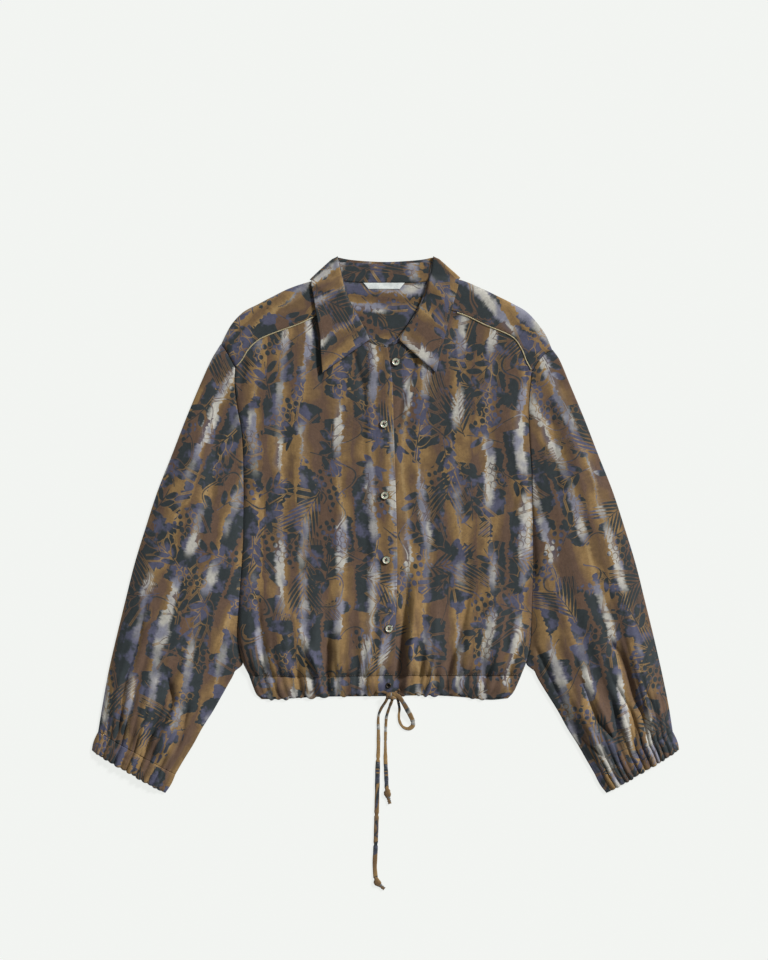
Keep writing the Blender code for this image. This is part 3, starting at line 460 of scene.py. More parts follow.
def makePrint():
    tree, given, out = newGroup(
        "dyedPrint",
        [
            ("Spot", "NodeSocketVector", None),
            ("Stripes", "NodeSocketFloat", 1.0),
            ("Seed", "NodeSocketFloat", 0.0),
        ],
        [("Color", "NodeSocketColor"), ("Dye", "NodeSocketFloat"), ("Grain", "NodeSocketFloat")],
    )
    p = printing
    x, y, z = partsOf(tree, given["Spot"])
    x, y = x * (1 / mm) + given["Seed"] * 37.0, y * (1 / mm) + given["Seed"] * 61.0
    spot = vectorOf(tree, x, y)
    # stripes: a pale streak, and a dark band on one side of it
    sway = (noiseOf(tree, spot, 1 / p["swayLength"], 1.0) - 0.5) * p["sway"]
    ragged = noiseOf(tree, spot, 1 / 8.0, 3.0, 0.6) - 0.5
    fringe = noiseOf(tree, vectorOf(tree, x * 0.22, y), 1 / 2.6, 2.0, 0.6) - 0.5
    across = x + sway + (noiseOf(tree, spot, 1 / 30.0, 2.0) - 0.5) * 9.0
    stripe = (across / p["stripeGap"]).math("FLOOR")
    one, two, three = chanceOf(tree, vectorOf(tree, stripe, 4.0, 2.0))
    bandSide = (two - 0.5).math("SIGN")
    toStreak = across - (stripe + 0.5) * p["stripeGap"] - (one - 0.5) * 8.0 + bandSide * 6.5
    fromStreak = (toStreak + fringe * 5.0).math("ABSOLUTE")
    on = noiseOf(tree, vectorOf(tree, stripe * 537.0, y), 1 / p["streakLength"] * 2.6, 1.5)
    grade = on.smooth(0.39, 0.62)
    streak = (grade * (three * 1.9 + 0.9) + 0.2 + ragged * 5.4 - fromStreak).smooth(-0.7, 0.9)
    streak = streak * grade.above(0.02)
    aside = toStreak * bandSide
    bandSpot = vectorOf(tree, stripe * 311.0 + 7.0, y)
    bandWidth = noiseOf(tree, bandSpot, 1 / p["bandLength"] * 3.0, 1.0) - 0.43
    lobes = tree.nodes.new("ShaderNodeTexVoronoi")
    lobes.voronoi_dimensions = "2D"
    lobes.inputs["Scale"].default_value = 1 / 5.2
    tree.links.new(spot.socket, lobes.inputs["Vector"])
    scallop = 2.1 - Wire(tree, lobes.outputs["Distance"]) * 4.6
    waved = (noiseOf(tree, spot, 1 / 19.0, 1.0) - 0.5) * 12.0
    room = 24.5 - (one - 0.5) * bandSide * 8.0
    reach = (bandWidth * 330.0 + 11.0 + waved).least(room)
    secondSpot = vectorOf(tree, stripe * 271.0 + 31.0, y)
    secondWidth = noiseOf(tree, secondSpot, 1 / p["bandLength"] * 3.4, 1.0) - 0.49
    secondReach = (secondWidth * 260.0 + 2.0 + waved).least(36.0 - room)
    lobed = scallop + ragged * 1.5
    second = ((secondReach + aside).least(2.5 - aside) + lobed) * 1.5
    second = second - secondReach.math("LESS_THAN", 6.0) * 30.0
    band = ((aside + 2.5).least(reach - aside) + lobed) * 1.5 - reach.math("LESS_THAN", 6.0) * 30.0
    # motifs
    c, s = math.cos(p["leafTurn"]), math.sin(p["leafTurn"])
    tx, ty = x * c + y * s, y * c - x * s
    leaf = sprigs(tree, tx, ty, 74.0, 3.0, 12.5, 16.0, 8.2, 17.0, 0.9, 0.56)
    leaf = leaf.most(sprigs(tree, x + 31.0, y + 17.0, 88.0, 5.0, 15.0, 18.0, 9.2, 19.0, 0.7, 0.5))
    leaf = leaf.most(fans(tree, tx + 23.0, ty + 41.0, 81.0, 8.0, 9.0, 2.0, 22.0, 8.4, 0.62, 0.42))
    leaf = leaf.most(sprigs(tree, x + 55.0, y + 29.0, 101.0, 11.0, 7.8, 26.0, 3.4, 22.0, 1.35, 0.42))
    cluster = noiseOf(tree, spot, 1 / 52.0, 0.5)
    small = berries(tree, tx, ty, 9.6, 2.0, 3.3, cluster, 0.64)
    curl = (noiseOf(tree, vectorOf(tree, x, y + 500.0), 1 / 58.0, 0.3) - 0.5).math("ABSOLUTE") * 62.0
    broken = noiseOf(tree, vectorOf(tree, y, x), 1 / 90.0, 0.0)
    small = small.most(0.45 - curl - broken.math("LESS_THAN", 0.50) * 9.0)
    motif = leaf.most(small)
    rim = motif.smooth(-1.9, -1.3) * (1.0 - motif.smooth(-0.5, 0.1))
    bandMask = band.most(second).smooth(-0.5, 0.6) * (1.0 - rim * 0.85)
    mask = bandMask.most(motif.smooth(-0.35, 0.35)).most(streak * (1.0 - rim * 0.6)) * given["Stripes"]
    # colours of the dye and of the ground
    cloudy = noiseOf(tree, spot, 1 / 26.0, 3.0, 0.62)
    toViolet = (cloudy + (1.0 - fromStreak.smooth(2.0, 15.0)) * 0.16).smooth(0.53, 0.70)
    dye = colourMix(tree, toViolet, p["slate"], p["violet"])
    toPale = (grade * 3.2 + 2.0 + ragged * 6.0 + aside.smooth(0.0, 3.0) * 2.5 - fromStreak).smooth(-3.2, 3.0)
    toPale = toPale * on.smooth(0.43, 0.58)
    hazy = noiseOf(tree, vectorOf(tree, x + 90.0, y * 0.7), 1 / 31.0, 2.0).smooth(0.44, 0.62)
    dye = colourMix(tree, toPale, dye, colourMix(tree, hazy, p["pale"], p["haze"]))
    blotch = noiseOf(tree, vectorOf(tree, x, y * 0.62), 1 / 46.0, 2.5, 0.55)
    tone = fromStreak / 19.0 + (blotch - 0.5) * 2.6
    ground = colourMix(tree, tone.smooth(0.15, 0.62), p["gold"], p["brown"])
    ground = colourMix(tree, (tone + ragged * 0.2).smooth(0.60, 1.0), ground, p["reddish"])
    ground = colourMix(tree, (1.0 - fromStreak.smooth(0.6, 4.5)) * 0.55, ground, p["lightGold"])
    halo = (1.0 - aside.smooth(2.0, 11.0)) * aside.smooth(-1.0, 2.0) * on.smooth(0.44, 0.62) * 0.75
    ground = colourMix(tree, halo, ground, p["violet"])
    colour = colourMix(tree, mask, ground, dye)
    mottle = noiseOf(tree, spot, 1 / 3.2, 3.0, 0.7)
    slub = noiseOf(tree, vectorOf(tree, x, y * 0.08), 1 / 1.1, 1.0)
    worn = noiseOf(tree, vectorOf(tree, x + 70.0, y), 1 / 9.0, 3.0, 0.65)
    shade = (mottle - 0.5) * 0.5 + (worn - 0.5) * 0.4 + (slub - 0.5) * 0.22 + 0.98
    colour = colourMix(tree, 1.0, colour, vectorOf(tree, shade, shade, shade), "MULTIPLY")
    tree.links.new(colour.socket, out["Color"])
    tree.links.new(mask.socket, out["Dye"])
    tree.links.new((mottle * 0.5 + slub * 0.5).socket, out["Grain"])
    return tree


def makeWeave():
    tree, given, out = newGroup(
        "plainWeave",
        [("Spot", "NodeSocketVector", None), ("Pitch", "NodeSocketFloat", 0.55)],
        [("Height", "NodeSocketFloat")],
    )
    x, y, z = partsOf(tree, given["Spot"])
    warp = (x * (2 * math.pi / mm) / given["Pitch"]).math("SINE")
    weft = (y * (2 * math.pi / mm) / given["Pitch"]).math("SINE")
    tree.links.new((warp * weft * 0.5 + 0.5).socket, out["Height"])
    return tree


def makeSpun():  # fine slanting lines, and soft patches, on satin, ribbon and thread
    tree, given, out = newGroup(
        "spunLines",
        [
            ("Spot", "NodeSocketVector", None),
            ("SlantX", "NodeSocketFloat", 1.0),
            ("SlantY", "NodeSocketFloat", 1.0),
            ("Pitch", "NodeSocketFloat", 0.6),
            ("PatchScale", "NodeSocketFloat", 0.1),
        ],
        [("Line", "NodeSocketFloat"), ("Patch", "NodeSocketFloat")],
    )
    x, y, z = partsOf(tree, given["Spot"])
    x, y = x * (1 / mm), y * (1 / mm)
    slanted = x * given["SlantX"] + y * given["SlantY"]
    line = (slanted * (2 * math.pi) / given["Pitch"]).math("SINE") * 0.5 + 0.5
    patch = noiseOf(tree, vectorOf(tree, x, y), given["PatchScale"], 2.0)
    tree.links.new(line.socket, out["Line"])
    tree.links.new(patch.socket, out["Patch"])
    return tree


dyedPrint, plainWeave, spunLines = makePrint(), makeWeave(), makeSpun()


def newMaterial(name, colour, roughness, metallic=0.0, sheen=0.0):
    made = bpy.data.materials.new(name)
    made.use_nodes = True
    shader = made.node_tree.nodes["Principled BSDF"]
    shader.inputs["Base Color"].default_value = colour
    shader.inputs["Roughness"].default_value = roughness
    shader.inputs["Metallic"].default_value = metallic
    shader.inputs["Sheen Weight"].default_value = sheen
    return made, made.node_tree, shader


def clothSpot(tree):
    node = tree.nodes.new("ShaderNodeUVMap")
    node.uv_map = "cloth"
    return Wire(tree, node.outputs[0])


def bumpInto(tree, shader, height, distance, strength):
    bump = tree.nodes.new("ShaderNodeBump")
    bump.inputs["Strength"].default_value = strength
    bump.inputs["Distance"].default_value = distance
    plug(tree, bump.inputs["Height"], height)
    tree.links.new(bump.outputs[0], shader.inputs["Normal"])


def makePrintedCloth():
    made, tree, shader = newMaterial("printedCloth", (0.2, 0.13, 0.06, 1), 0.8, 0.0, 0.12)
    shader.inputs["Sheen Roughness"].default_value = 0.5
    shader.inputs["Specular IOR Level"].default_value = 0.28
    spot = clothSpot(tree)
    dyed = placeGroup(tree, dyedPrint, Spot=spot, Stripes=1.0, Seed=0.0)
    woven = placeGroup(tree, plainWeave, Spot=spot, Pitch=0.55)
    tree.links.new(dyed["Color"].socket, shader.inputs["Base Color"])
    rough = 0.84 - dyed["Dye"] * 0.08 + (dyed["Grain"] - 0.5) * 0.1
    tree.links.new(rough.socket, shader.inputs["Roughness"])
    bumpInto(tree, shader, woven["Height"] * 0.35 + dyed["Grain"] * 0.9, 0.25 * mm, 0.55)
    return made


printedCloth = makePrintedCloth()
print("print made")


# Drawstring: the route points are the ones that its solids follow

drawstring = {
    "width": 6.4,
    "height": 2.0,
    "knot": (9.0, -231.0, 9.4),
    "loop": [
        (13.0, -230.8, 10.4), (17.9, -232.6, 11.2), (20.6, -236, 11.0), (24.5, -242, 9.0), (29, -250, 6.4),
        (33.5, -258.5, 4.2),
        (37, -267, 2.4), (36.5, -273.5, 1.5), (30.5, -277, 1.3), (23.5, -274.5, 1.3), (19, -267, 1.3),
        (18, -259, 1.3), (18.8, -251, 1.6), (18.2, -245, 3.8), (17.2, -240.4, 7.0), (16, -236.4, 7.8),
        (13.5, -233.2, 8.6),
    ],
    "long": [
        (5.4, -232.8, 8.8), (2.2, -235.6, 8.2), (0.9, -238.6, 7.8), (-1.8, -243, 5.6), (-5.8, -249.5, 2.9),
        (-8.8, -257, 1.5),
        (-9.8, -265, 1.3), (-9.5, -278, 1.3), (-9.5, -300, 1.3), (-10.5, -330, 1.3), (-11.5, -373, 1.3),
        (-12.5, -410, 1.3), (-13.5, -440, 1.3), (-14.5, -462, 1.3), (-13.4, -478, 1.3),
    ],
    "short": [
        (9.6, -233.2, 8.8), (9, -237.1, 8.2), (8.2, -240, 7.9), (6.8, -243.5, 5.6), (4.6, -250, 2.9),
        (2.2, -257.5, 1.5),
        (0.8, -266, 1.3), (0, -292, 1.3), (0, -319, 1.3), (1, -340, 1.3), (1.6, -357, 1.3),
    ],
    "longEnd": [(-12.8, -478.6, 2.2), (-12, -483, 2.6), (-8, -487.5, 1.8), (-1.5, -493, 1.8)],
    "shortEnd": [(1.9, -357.6, 2.2), (2.3, -362, 2.6), (3.6, -369, 1.8), (6, -378, 1.8)],
    "pinches": {"long": (0.36, 0.66, 0.82), "short": (0.5,), "loop": (0.42,)},  # where it is creased narrow
    "pinchDepth": 0.3,
    "pinchRun": 0.008,
    "uneven": 0.03,
    "rings": {"long": 170, "short": 90, "loop": 90},
    "knotTurns": 3.1,
    "widths": {  # shares of a strand, and of the tape's width
        "long": ((0, 0.12, 0.2, 0.33, 0.37, 1), (0.6, 0.55, 0.72, 0.8, 1.0, 0.95)),
        "short": ((0, 0.3, 0.6, 0.7, 1), (0.6, 0.62, 0.66, 0.85, 0.9)),
        "loop": ((0, 0.2, 0.38, 0.5, 0.6, 0.8, 1), (0.85, 1.0, 1.02, 0.9, 0.58, 0.52, 0.55)),
    },
}


def addTape(name, node, path, width, height, ring, widths, square):
    tape = addTube(name, path, width, height, printedCloth, ring, widths, square)
    return dress(tape, node)


def addStrand(name, endPieces):
    d, route = drawstring, drawstring[name]
    along = np.linspace(0, 1, d["rings"][name])
    path = curveAt(route, along)
    widths = np.interp(along, *d["widths"][name])
    widths = widths + d["uneven"] * np.sin(along * 31) + d["uneven"] * np.sin(along * 77 + 1)
    for spot in d["pinches"][name]:
        widths = widths * (1 - d["pinchDepth"] * np.exp(-(((along - spot) / d["pinchRun"]) ** 2)))
    words = "drawstring" + name.capitalize(), "drawstring_" + name
    piece = addTape(*words, path, d["width"], d["height"], 18, widths, 0.6)
    (path[::3] * mm).tolist() + [(path[-1] * mm).tolist()]


def addEndKnot(name):
    # the tape wrapped once round itself, and its cut end
    along = np.linspace(0, 1, 42)
    path = curveAt(drawstring[name + "End"], along)
    ahead = (path[-1] - path[0]) / np.linalg.norm(path[-1] - path[0])
    path[:, 1] += 1.6 * (1 - along) ** 3
    aside = np.array([ahead[1], -ahead[0], 0.0])
    bulge = np.exp(-(((along - 0.34) / 0.2) ** 2))
    path = path + aside * (1.1 * bulge * np.sin(along * 26))[:, None]
    widths = 0.72 + 0.62 * bulge + 0.1 * np.sin(along * 40)
    words = "endKnot" + name.capitalize(), "end_knot_" + name
    return addTape(*words, path, drawstring["width"], drawstring["height"] * 1.38, 18, widths, 0.85)


def addHemKnot():
    # three turns of tape drawn tight over each other
    x, y, z = drawstring["knot"]
    turn = np.linspace(0, drawstring["knotTurns"] * math.pi * 2, 200)
    pathX = x + 4.9 * np.cos(turn) + 1.2 * np.cos(turn / drawstring["knotTurns"])
    path = np.stack([pathX, y + 2.5 * np.sin(turn) - 0.7, z + 1.3 * np.sin(turn * 1.5 + 0.8) - 0.1], -1)
    return addTape("drawstringKnot", "drawstring_knot", path, 5.4, 3.0, 14, None, 0.9)


addStrand("loop", [addHemKnot()])
for strand in ("long", "short"):
    addStrand(strand, [addEndKnot(strand)])


# Outline of the body, the same as its solids

outline = {
    "sideLeft": [
        (-184, -205), (-194, -184), (-199, -160), (-200, -140), (-197, -92), (-193, -30), (-192, 40),
        (-194, 120),
        (-200, 155), (-204, 188), (-203, 210),
    ],
    "sideRight": [
        (183, -205), (191, -184), (196, -160), (198, -110), (200, -60), (199, 2), (198, 70), (195, 115),
        (194, 160),
        (198, 205),
    ],
    "yokeEndLeft": [(-203, 210), (-209, 221), (-217, 235), (-222, 241)],
    "yokeEndRight": [(198, 205), (205.5, 217), (214.5, 228), (225, 234)],
    "shoulderLeft": [
        (-222, 241), (-215, 256), (-206, 271), (-191, 286), (-172, 296), (-151, 307), (-128, 318),
        (-99, 327), (-76, 332),
    ],
    "shoulderRight": [
        (225, 234), (217, 253), (206, 269), (190, 286), (171, 297), (151, 307), (128, 318), (100, 329),
        (76, 333),
    ],
    "yokeSeamLeft": [
        (-203, 210), (-194, 220), (-186, 233), (-178, 242), (-167, 250), (-142, 260), (-117, 269),
        (-94, 280), (-76, 288),
    ],
    "yokeSeamRight": [
        (198, 205), (190, 219), (184, 234), (174, 249), (161, 257), (134, 268), (109, 280), (88, 287),
        (74, 291),
    ],
    "neckLeft": [(-76, 288), (-68, 279), (-55, 266), (-35, 251), (-15, 241), (3, 237)],
    "neckRight": [(74, 291), (66, 280), (52, 266), (35, 253), (16, 243), (-9, 234)],
    "neckBack": [(-76, 332), (-58, 327), (-30, 325), (30, 325), (58, 327), (76, 333)],
    "edgeTop": [(13, -205), (14, -141), (16, -49), (14, 38), (11, 134), (9, 194), (3, 237)],
    "edgeUnder": [(-13, -205), (-12, -141), (-10, -49), (-11, 38), (-13, 134), (-13, 194), (-9, 234)],
    "backSeam": [(-203, 210), (-100, 203), (0, 201), (100, 202), (198, 205)],
    "hemSeam": [(-184, -205), (-90, -207), (0, -205), (90, -205), (183, -205)],
    "hemEdge": [
        (-167, -237), (-145, -237), (-90, -234), (0, -233), (60, -232), (100, -234), (140, -238), (165, -236),
    ],
    "hemEndLeft": [(-184, -205), (-179, -219), (-174, -231), (-167, -237)],
    "hemEndRight": [(183, -205), (177, -219), (172, -229), (165, -236)],
    "fallEdge": [(-99, 327), (-76, 316), (0, 307), (76, 317), (98, 329)],
}
edgeLeft = outline["sideLeft"] + outline["yokeEndLeft"][1:] + outline["hemEndLeft"][1:]
edgeRight = outline["sideRight"] + outline["yokeEndRight"][1:] + outline["hemEndRight"][1:]
shoulders = outline["shoulderLeft"] + outline["shoulderRight"]

body = {
    "crown": 4.0,  # how far the fronts stand up from the back
    "crownRun": 4.2,
    "fullness": 4.5,  # cloth that falls over the hem casing
    "fullnessAt": -160.0,
    "fullnessRun": 55.0,
    "folds": [  # from (x, y) to (x, y), height and width
        (-176, -205, -168, -110, 2.6, 8), (-165, -205, -160, -120, -2.4, 6), (-140, -205, -128, -60, 3.4, 12),
        (-98, -205, -92, -70, 3.0, 11), (-79, -205, -82, -150, -2.4, 7), (-60, -205, -62, -40, 3.0, 12),
        (-30, -205, -36, -90, 2.2, 10), (17, -205, 27, -40, -3.2, 7), (30, -205, 42, -60, 3.2, 9),
        (62, -205, 66, -90, 3.4, 11), (84, -205, 86, -150, -2.2, 7), (108, -205, 112, -70, 3.2, 12),
        (150, -205, 146, -50, 3.6, 12), (174, -205, 176, -120, 2.4, 8), (-42, 232, -32, 190, 1.6, 7),
        (43, 222, 16, 150, 1.8, 8), (-185, 60, -150, 190, 1.8, 12), (186, 60, 152, 185, 1.8, 12),
        (-120, 20, -104, 200, 1.2, 16), (110, 10, 100, 200, 1.2, 16),
    ],
    "creases": [  # line, height, width, share over which it fades in and out
        ([(-159, -240), (-163, -213), (-167, -170), (-171, -120), (-173, -80)], -3.0, 5.0, 0, 0.5),
        ([(-79, -240), (-80, -205), (-78, -170), (-75, -120)], -3.3, 4.0, 0, 0.5),
        ([(-86, -234), (-89, -208), (-96, -186), (-110, -155), (-123, -120)], 2.3, 4.4, 0.05, 0.6),
        ([(-117, -240), (-118, -205), (-116, -160)], -1.4, 5.0, 0, 0.6),
        ([(-31, -238), (-36, -200), (-38, -140)], -1.6, 5.0, 0, 0.6),
        ([(15, -240), (20, -190), (25, -140), (28, -90), (30, -40)], -3.0, 4.4, 0, 0.4),
        ([(26, -238), (33, -190), (38, -140), (41, -90), (43, -40)], 1.4, 6.0, 0, 0.4),
        ([(47, -240), (47, -205), (50, -165)], -1.8, 3.6, 0, 0.6),
        ([(82, -240), (83, -205), (92, -175), (104, -135), (112, -90), (114, -40)], -2.4, 5.5, 0, 0.5),
        ([(66, -238), (70, -215), (80, -203)], -1.2, 3.0, 0, 0.4),
        ([(134, -240), (132, -205), (130, -150)], -1.6, 6.0, 0, 0.6),
        ([(-187, 222), (-194, 200), (-200, 165)], -1.8, 5.0, 0.2, 0.5),
        ([(188, 214), (190, 195), (194, 160)], -1.0, 5.0, 0.2, 0.5),
        ([(-96, 285), (-90, 250), (-88, 205), (-84, 160)], -2.0, 7.0, 0.1, 0.5),
        ([(-45, 238), (-40, 220), (-30, 180), (-26, 130)], -1.5, 5.5, 0.1, 0.6),
        ([(48, 232), (36, 205), (22, 165), (14, 120)], -1.7, 4.2, 0.1, 0.5),
        ([(96, 285), (92, 250), (90, 200)], -1.0, 7.0, 0.1, 0.5),
        ([(-190, 60), (-168, 30), (-158, -20)], -0.9, 7.0, 0.3, 0.5),
        ([(196, 90), (176, 40), (166, -20)], -0.9, 7.0, 0.3, 0.5),
        ([(-60, 60), (-66, 0), (-64, -60)], 0.8, 9.0, 0.4, 0.4),
        ([(66, 80), (74, 10), (70, -50)], 0.8, 9.0, 0.4, 0.4),
        ([(-140, 150), (-132, 80), (-136, 20)], -0.8, 9.0, 0.4, 0.4),
        ([(140, 160), (136, 90), (142, 20)], -0.8, 9.0, 0.4, 0.4),
    ],
    "frontSize": (197, 442),
    "casingSize": (190, 30),
    "hemSeam": -205.0,
    "columnStep": 2.2,
    "rowStep": 2.5,
    "lowest": 2.1,  # the fronts stay above the back
    "placketStep": 2.2,  # the front on top rises this far over the one below
    "placketRun": 10.0,
    "placketClear": 7.0,
    "gatherRun": 46.0,  # how far the gathers run up from the hem seam
    "gatherRise": 3.0,
    "gatherMarksLeft": (
        0, 0.05, 0.10, 0.16, 0.22, 0.28, 0.335, 0.43, 0.533, 0.60, 0.67, 0.735, 0.80, 0.87, 0.94, 1,
    ),
    "gatherMarksRight": (
        0, 0.07, 0.14, 0.19, 0.25, 0.31, 0.36, 0.41, 0.49, 0.57, 0.63, 0.70, 0.77, 0.84, 0.91, 1,
    ),
    "gatherSizes": (0.6, 1.1, 0.8, 1.2, 0.7, 1.0, 1.3, 1.2, 0.8, 1.1, 0.6, 0.9, 1.1, 0.6, 0.3),
    "puff": 2.6,  # of the hem casing
    "creaseDepth": 2.7,  # times the height given for a crease
    "casingCrease": 1.7,
}


def collarLift(x, y):
    behind = ease((y - tableAt(outline["fallEdge"], x) + 11) / 8)
    return (sheetOfCloth["layer"] + sheetOfCloth["seam"] + 0.1) * behind * ease((128 - np.abs(x)) / 16)


def fromSides(x, y):
    return np.minimum(x - tableAt(edgeLeft, y, 1), tableAt(edgeRight, y, 1) - x)


def foldHeight(x, y):
    total = 0
    for x0, y0, x1, y1, rise, width in body["folds"]:
        runX, runY = x1 - x0, y1 - y0
        length = math.hypot(runX, runY)
        along = ((x - x0) * runX + (y - y0) * runY) / length**2
        away = ((x - x0) * runY - (y - y0) * runX) / length
        fade = ease((1 - along) * 2.2) * ease(1 + (along + 0.12) * 4)
        total = total + rise * fade * np.exp(-((away / width) ** 2))
    return total


def bodyTop(x, y, fine=True):
    inward = np.minimum(fromSides(x, y), tableAt(shoulders, x) - y)
    rise = 1 - np.exp(-np.maximum(inward, 0) / body["crownRun"])
    full = body["fullness"] * np.exp(-(((y - body["fullnessAt"]) / body["fullnessRun"]) ** 2))
    height = body["crown"] + full + foldHeight(x, y)
    if fine:
        height = height + body["creaseDepth"] * creased(x, y, body["creases"])
        height = height + 0.45 * unevenness(x, y * 0.5, 46, 1) + 0.16 * unevenness(x, y * 0.7, 15, 2)
    return layered + collarLift(x, y) + rise * np.maximum(height, 0.6)


def placketRise(x, y):
    edge = tableAt(outline["edgeUnder"], y, 1)
    run = body["placketRun"]
    return body["placketStep"] * ease((x - edge + run + body["placketClear"]) / run)


def casingTop(x, y):
    low, high = tableAt(outline["hemEdge"], x), tableAt(outline["hemSeam"], x)
    up = np.clip((y - low) / (high - low), 0, 1)
    puff = body["puff"] * np.sin(math.pi * (0.1 + 0.8 * up)) * ease(0.15 + 1.5 * up)
    return layered + puff * (1 - np.exp(-np.maximum(fromSides(x, y), 0) / body["crownRun"]))


def addFront(side, edges, hemEdges, marks, rise, plain, shift):
    # edges are the bottom, top, left and right of a piece, and plain says where the gathers end
    width, length = body["frontSize"]
    casingWidth, casingHeight = body["casingSize"]
    bottom = edges[0]
    middle = (bottom[0][0] + bottom[-1][0]) / 2

    def fullness(x, run):
        return middle + (x - middle) * (1 + 0.3 * np.exp(-run / 45)) + shift[0]

    def gathers(across, run):
        hump = gathered(across, marks, body["gatherSizes"])
        return plain(across) * body["gatherRise"] * hump * np.exp(-run / body["gatherRun"])

    def fromSide(across):  # from the side seam to the centre
        return across if side == "Right" else 1 - across

    def at(across, up):
        x, y = np.moveaxis(patchAt(*edges, across, up), -1, 0)
        seamX, seamY = np.moveaxis(curveAt(bottom, across), -1, 0)
        run = np.maximum(y - seamY, 0)
        atSeam = body["hemSeam"] + 0 * y
        step = bodyTop(seamX, atSeam) - casingTop(seamX, atSeam - 2)
        step = step - body["casingCrease"] * creased(seamX, atSeam, body["creases"])
        z = bodyTop(x, y) + gathers(across, run) + rise(x, y)
        z = z - step * np.exp(-run / 8) - 0.1 * np.exp(-run / 1.5)
        z = np.maximum(z, body["lowest"]) - turnedDown(fromSide(across) * width)
        z = z - 0.7 * turnedDown((1 - fromSide(across)) * width, 1.0)
        return x, y, z, fullness(x, run), y + shift[1]

    columns, rows = shares(width, body["columnStep"]), shares(length, body["rowStep"])
    front = addCloth("front" + side, columns, rows, at, "front_" + side.lower())

    def casingAt(across, up):
        inside = np.clip(up, 0, 1)
        x, y = np.moveaxis(patchAt(*hemEdges, across, inside), -1, 0)
        hump = gathered(across, marks, body["gatherSizes"])
        scallop = (3.6 - 4.4 * hump + 1.3 * unevenness(x, 0 * x, 34, 8)) * plain(across)
        y = y + np.maximum(up - 1, 0) * casingHeight + (1 - ease(up * 2.2)) * scallop
        z = casingTop(x, y) + gathers(across, 0) * (0.35 + 0.65 * ease(up * 1.6)) + rise(x, y)
        z = z + body["casingCrease"] * creased(x, y, body["creases"]) * ease(up * 2.5)
        z = z - 0.1 * np.exp(np.minimum(up - 1, 0) * casingHeight / 1.5) - 0.6 * (up > 1)
        z = z - 1.1 * turnedDown(inside * casingHeight, 2.4)
        z = np.maximum(z, body["lowest"] - 0.2) - turnedDown(fromSide(across) * casingWidth)
        return x, y, z, fullness(x, 0), y + shift[1]

    casingColumns = shares(casingWidth, body["columnStep"])
    casingRows = np.append(shares(casingHeight, 1.5), 1.03)  # the last row runs on under the front
    return front, addCloth("hem" + side, casingColumns, casingRows, casingAt, "hem_" + side.lower())


def addFronts():
    o = outline
    onYoke = 14 / 24  # share of a front's top edge that runs along the yoke
    seam = sheetOfCloth["seam"]
    drop = -1.5 * seam
    yokeLeft, neckLeft, neckRight, yokeRight = [
        moved(line, 0, drop) for line in (
            o["yokeSeamLeft"], o["neckLeft"], o["neckRight"][::-1], o["yokeSeamRight"][::-1],
        )
    ]
    topLeft, topRight = joined(yokeLeft, neckLeft, onYoke), joined(neckRight, yokeRight, 1 - onYoke)
    span = o["hemSeam"][-1][0] - o["hemSeam"][0][0]
    meets = [(p[0] - o["hemSeam"][0][0]) / span for p in (o["edgeTop"][0], o["edgeUnder"][0])]
    bottomLeft, bottomRight = cut(o["hemSeam"], 0, meets[0]), cut(o["hemSeam"], meets[1], 1)
    hemLeft, hemRight = cut(o["hemEdge"], 0, 0.525), cut(o["hemEdge"], 0.455, 1)
    centreLeft = [hemLeft[-1], tuple(mix(hemLeft[-1], bottomLeft[-1], 0.5)), bottomLeft[-1]]
    centreRight = [hemRight[0], tuple(mix(hemRight[0], bottomRight[0], 0.5)), bottomRight[0]]
    first = addFront(
        "Right", (bottomLeft, topLeft, o["sideLeft"], o["edgeTop"]),
        (hemLeft, moved(bottomLeft, 0, -seam), o["hemEndLeft"][::-1], centreLeft),
        body["gatherMarksLeft"], placketRise, lambda a: ease((1 - a) * 7), (0, 0),
    )
    second = addFront(
        "Left", (bottomRight, topRight, o["edgeUnder"], o["sideRight"]),
        (hemRight, moved(bottomRight, 0, -seam), centreRight, o["hemEndRight"][::-1]),
        body["gatherMarksRight"], lambda x, y: 0.0, lambda a: ease((a - 0.1) * 7), (410, 170),
    )
    return first + second


def addBack():
    o, thick = outline, sheetOfCloth["layer"]

    def flatOn(*edges):
        def at(across, up):
            x, y = np.moveaxis(patchAt(*edges, across, up), -1, 0)
            return x, y, thick + 0 * x, x + 900, y + 60
        return at

    panel = flatOn(o["hemSeam"], o["backSeam"], o["sideLeft"], o["sideRight"])
    casing = flatOn(o["hemEdge"], o["hemSeam"], o["hemEndLeft"][::-1], o["hemEndRight"][::-1])
    addCloth("backPanel", shares(400, 6), shares(410, 6), panel, "back", wall=thick)
    addCloth("hemBack", shares(400, 6), shares(30, 5), casing, "hem_back", wall=thick)


yoke = {
    "sideColumns": 14,
    "neckColumns": 8,
    "refine": 5,
    "backRows": 20,
    "foldRows": 7,
    "frontRows": 22,
    "shoulderSlope": 22.0,
    "neckPoint": (76, 332),  # where the shoulder seam meets the neck
    "wall": 1.1,
}


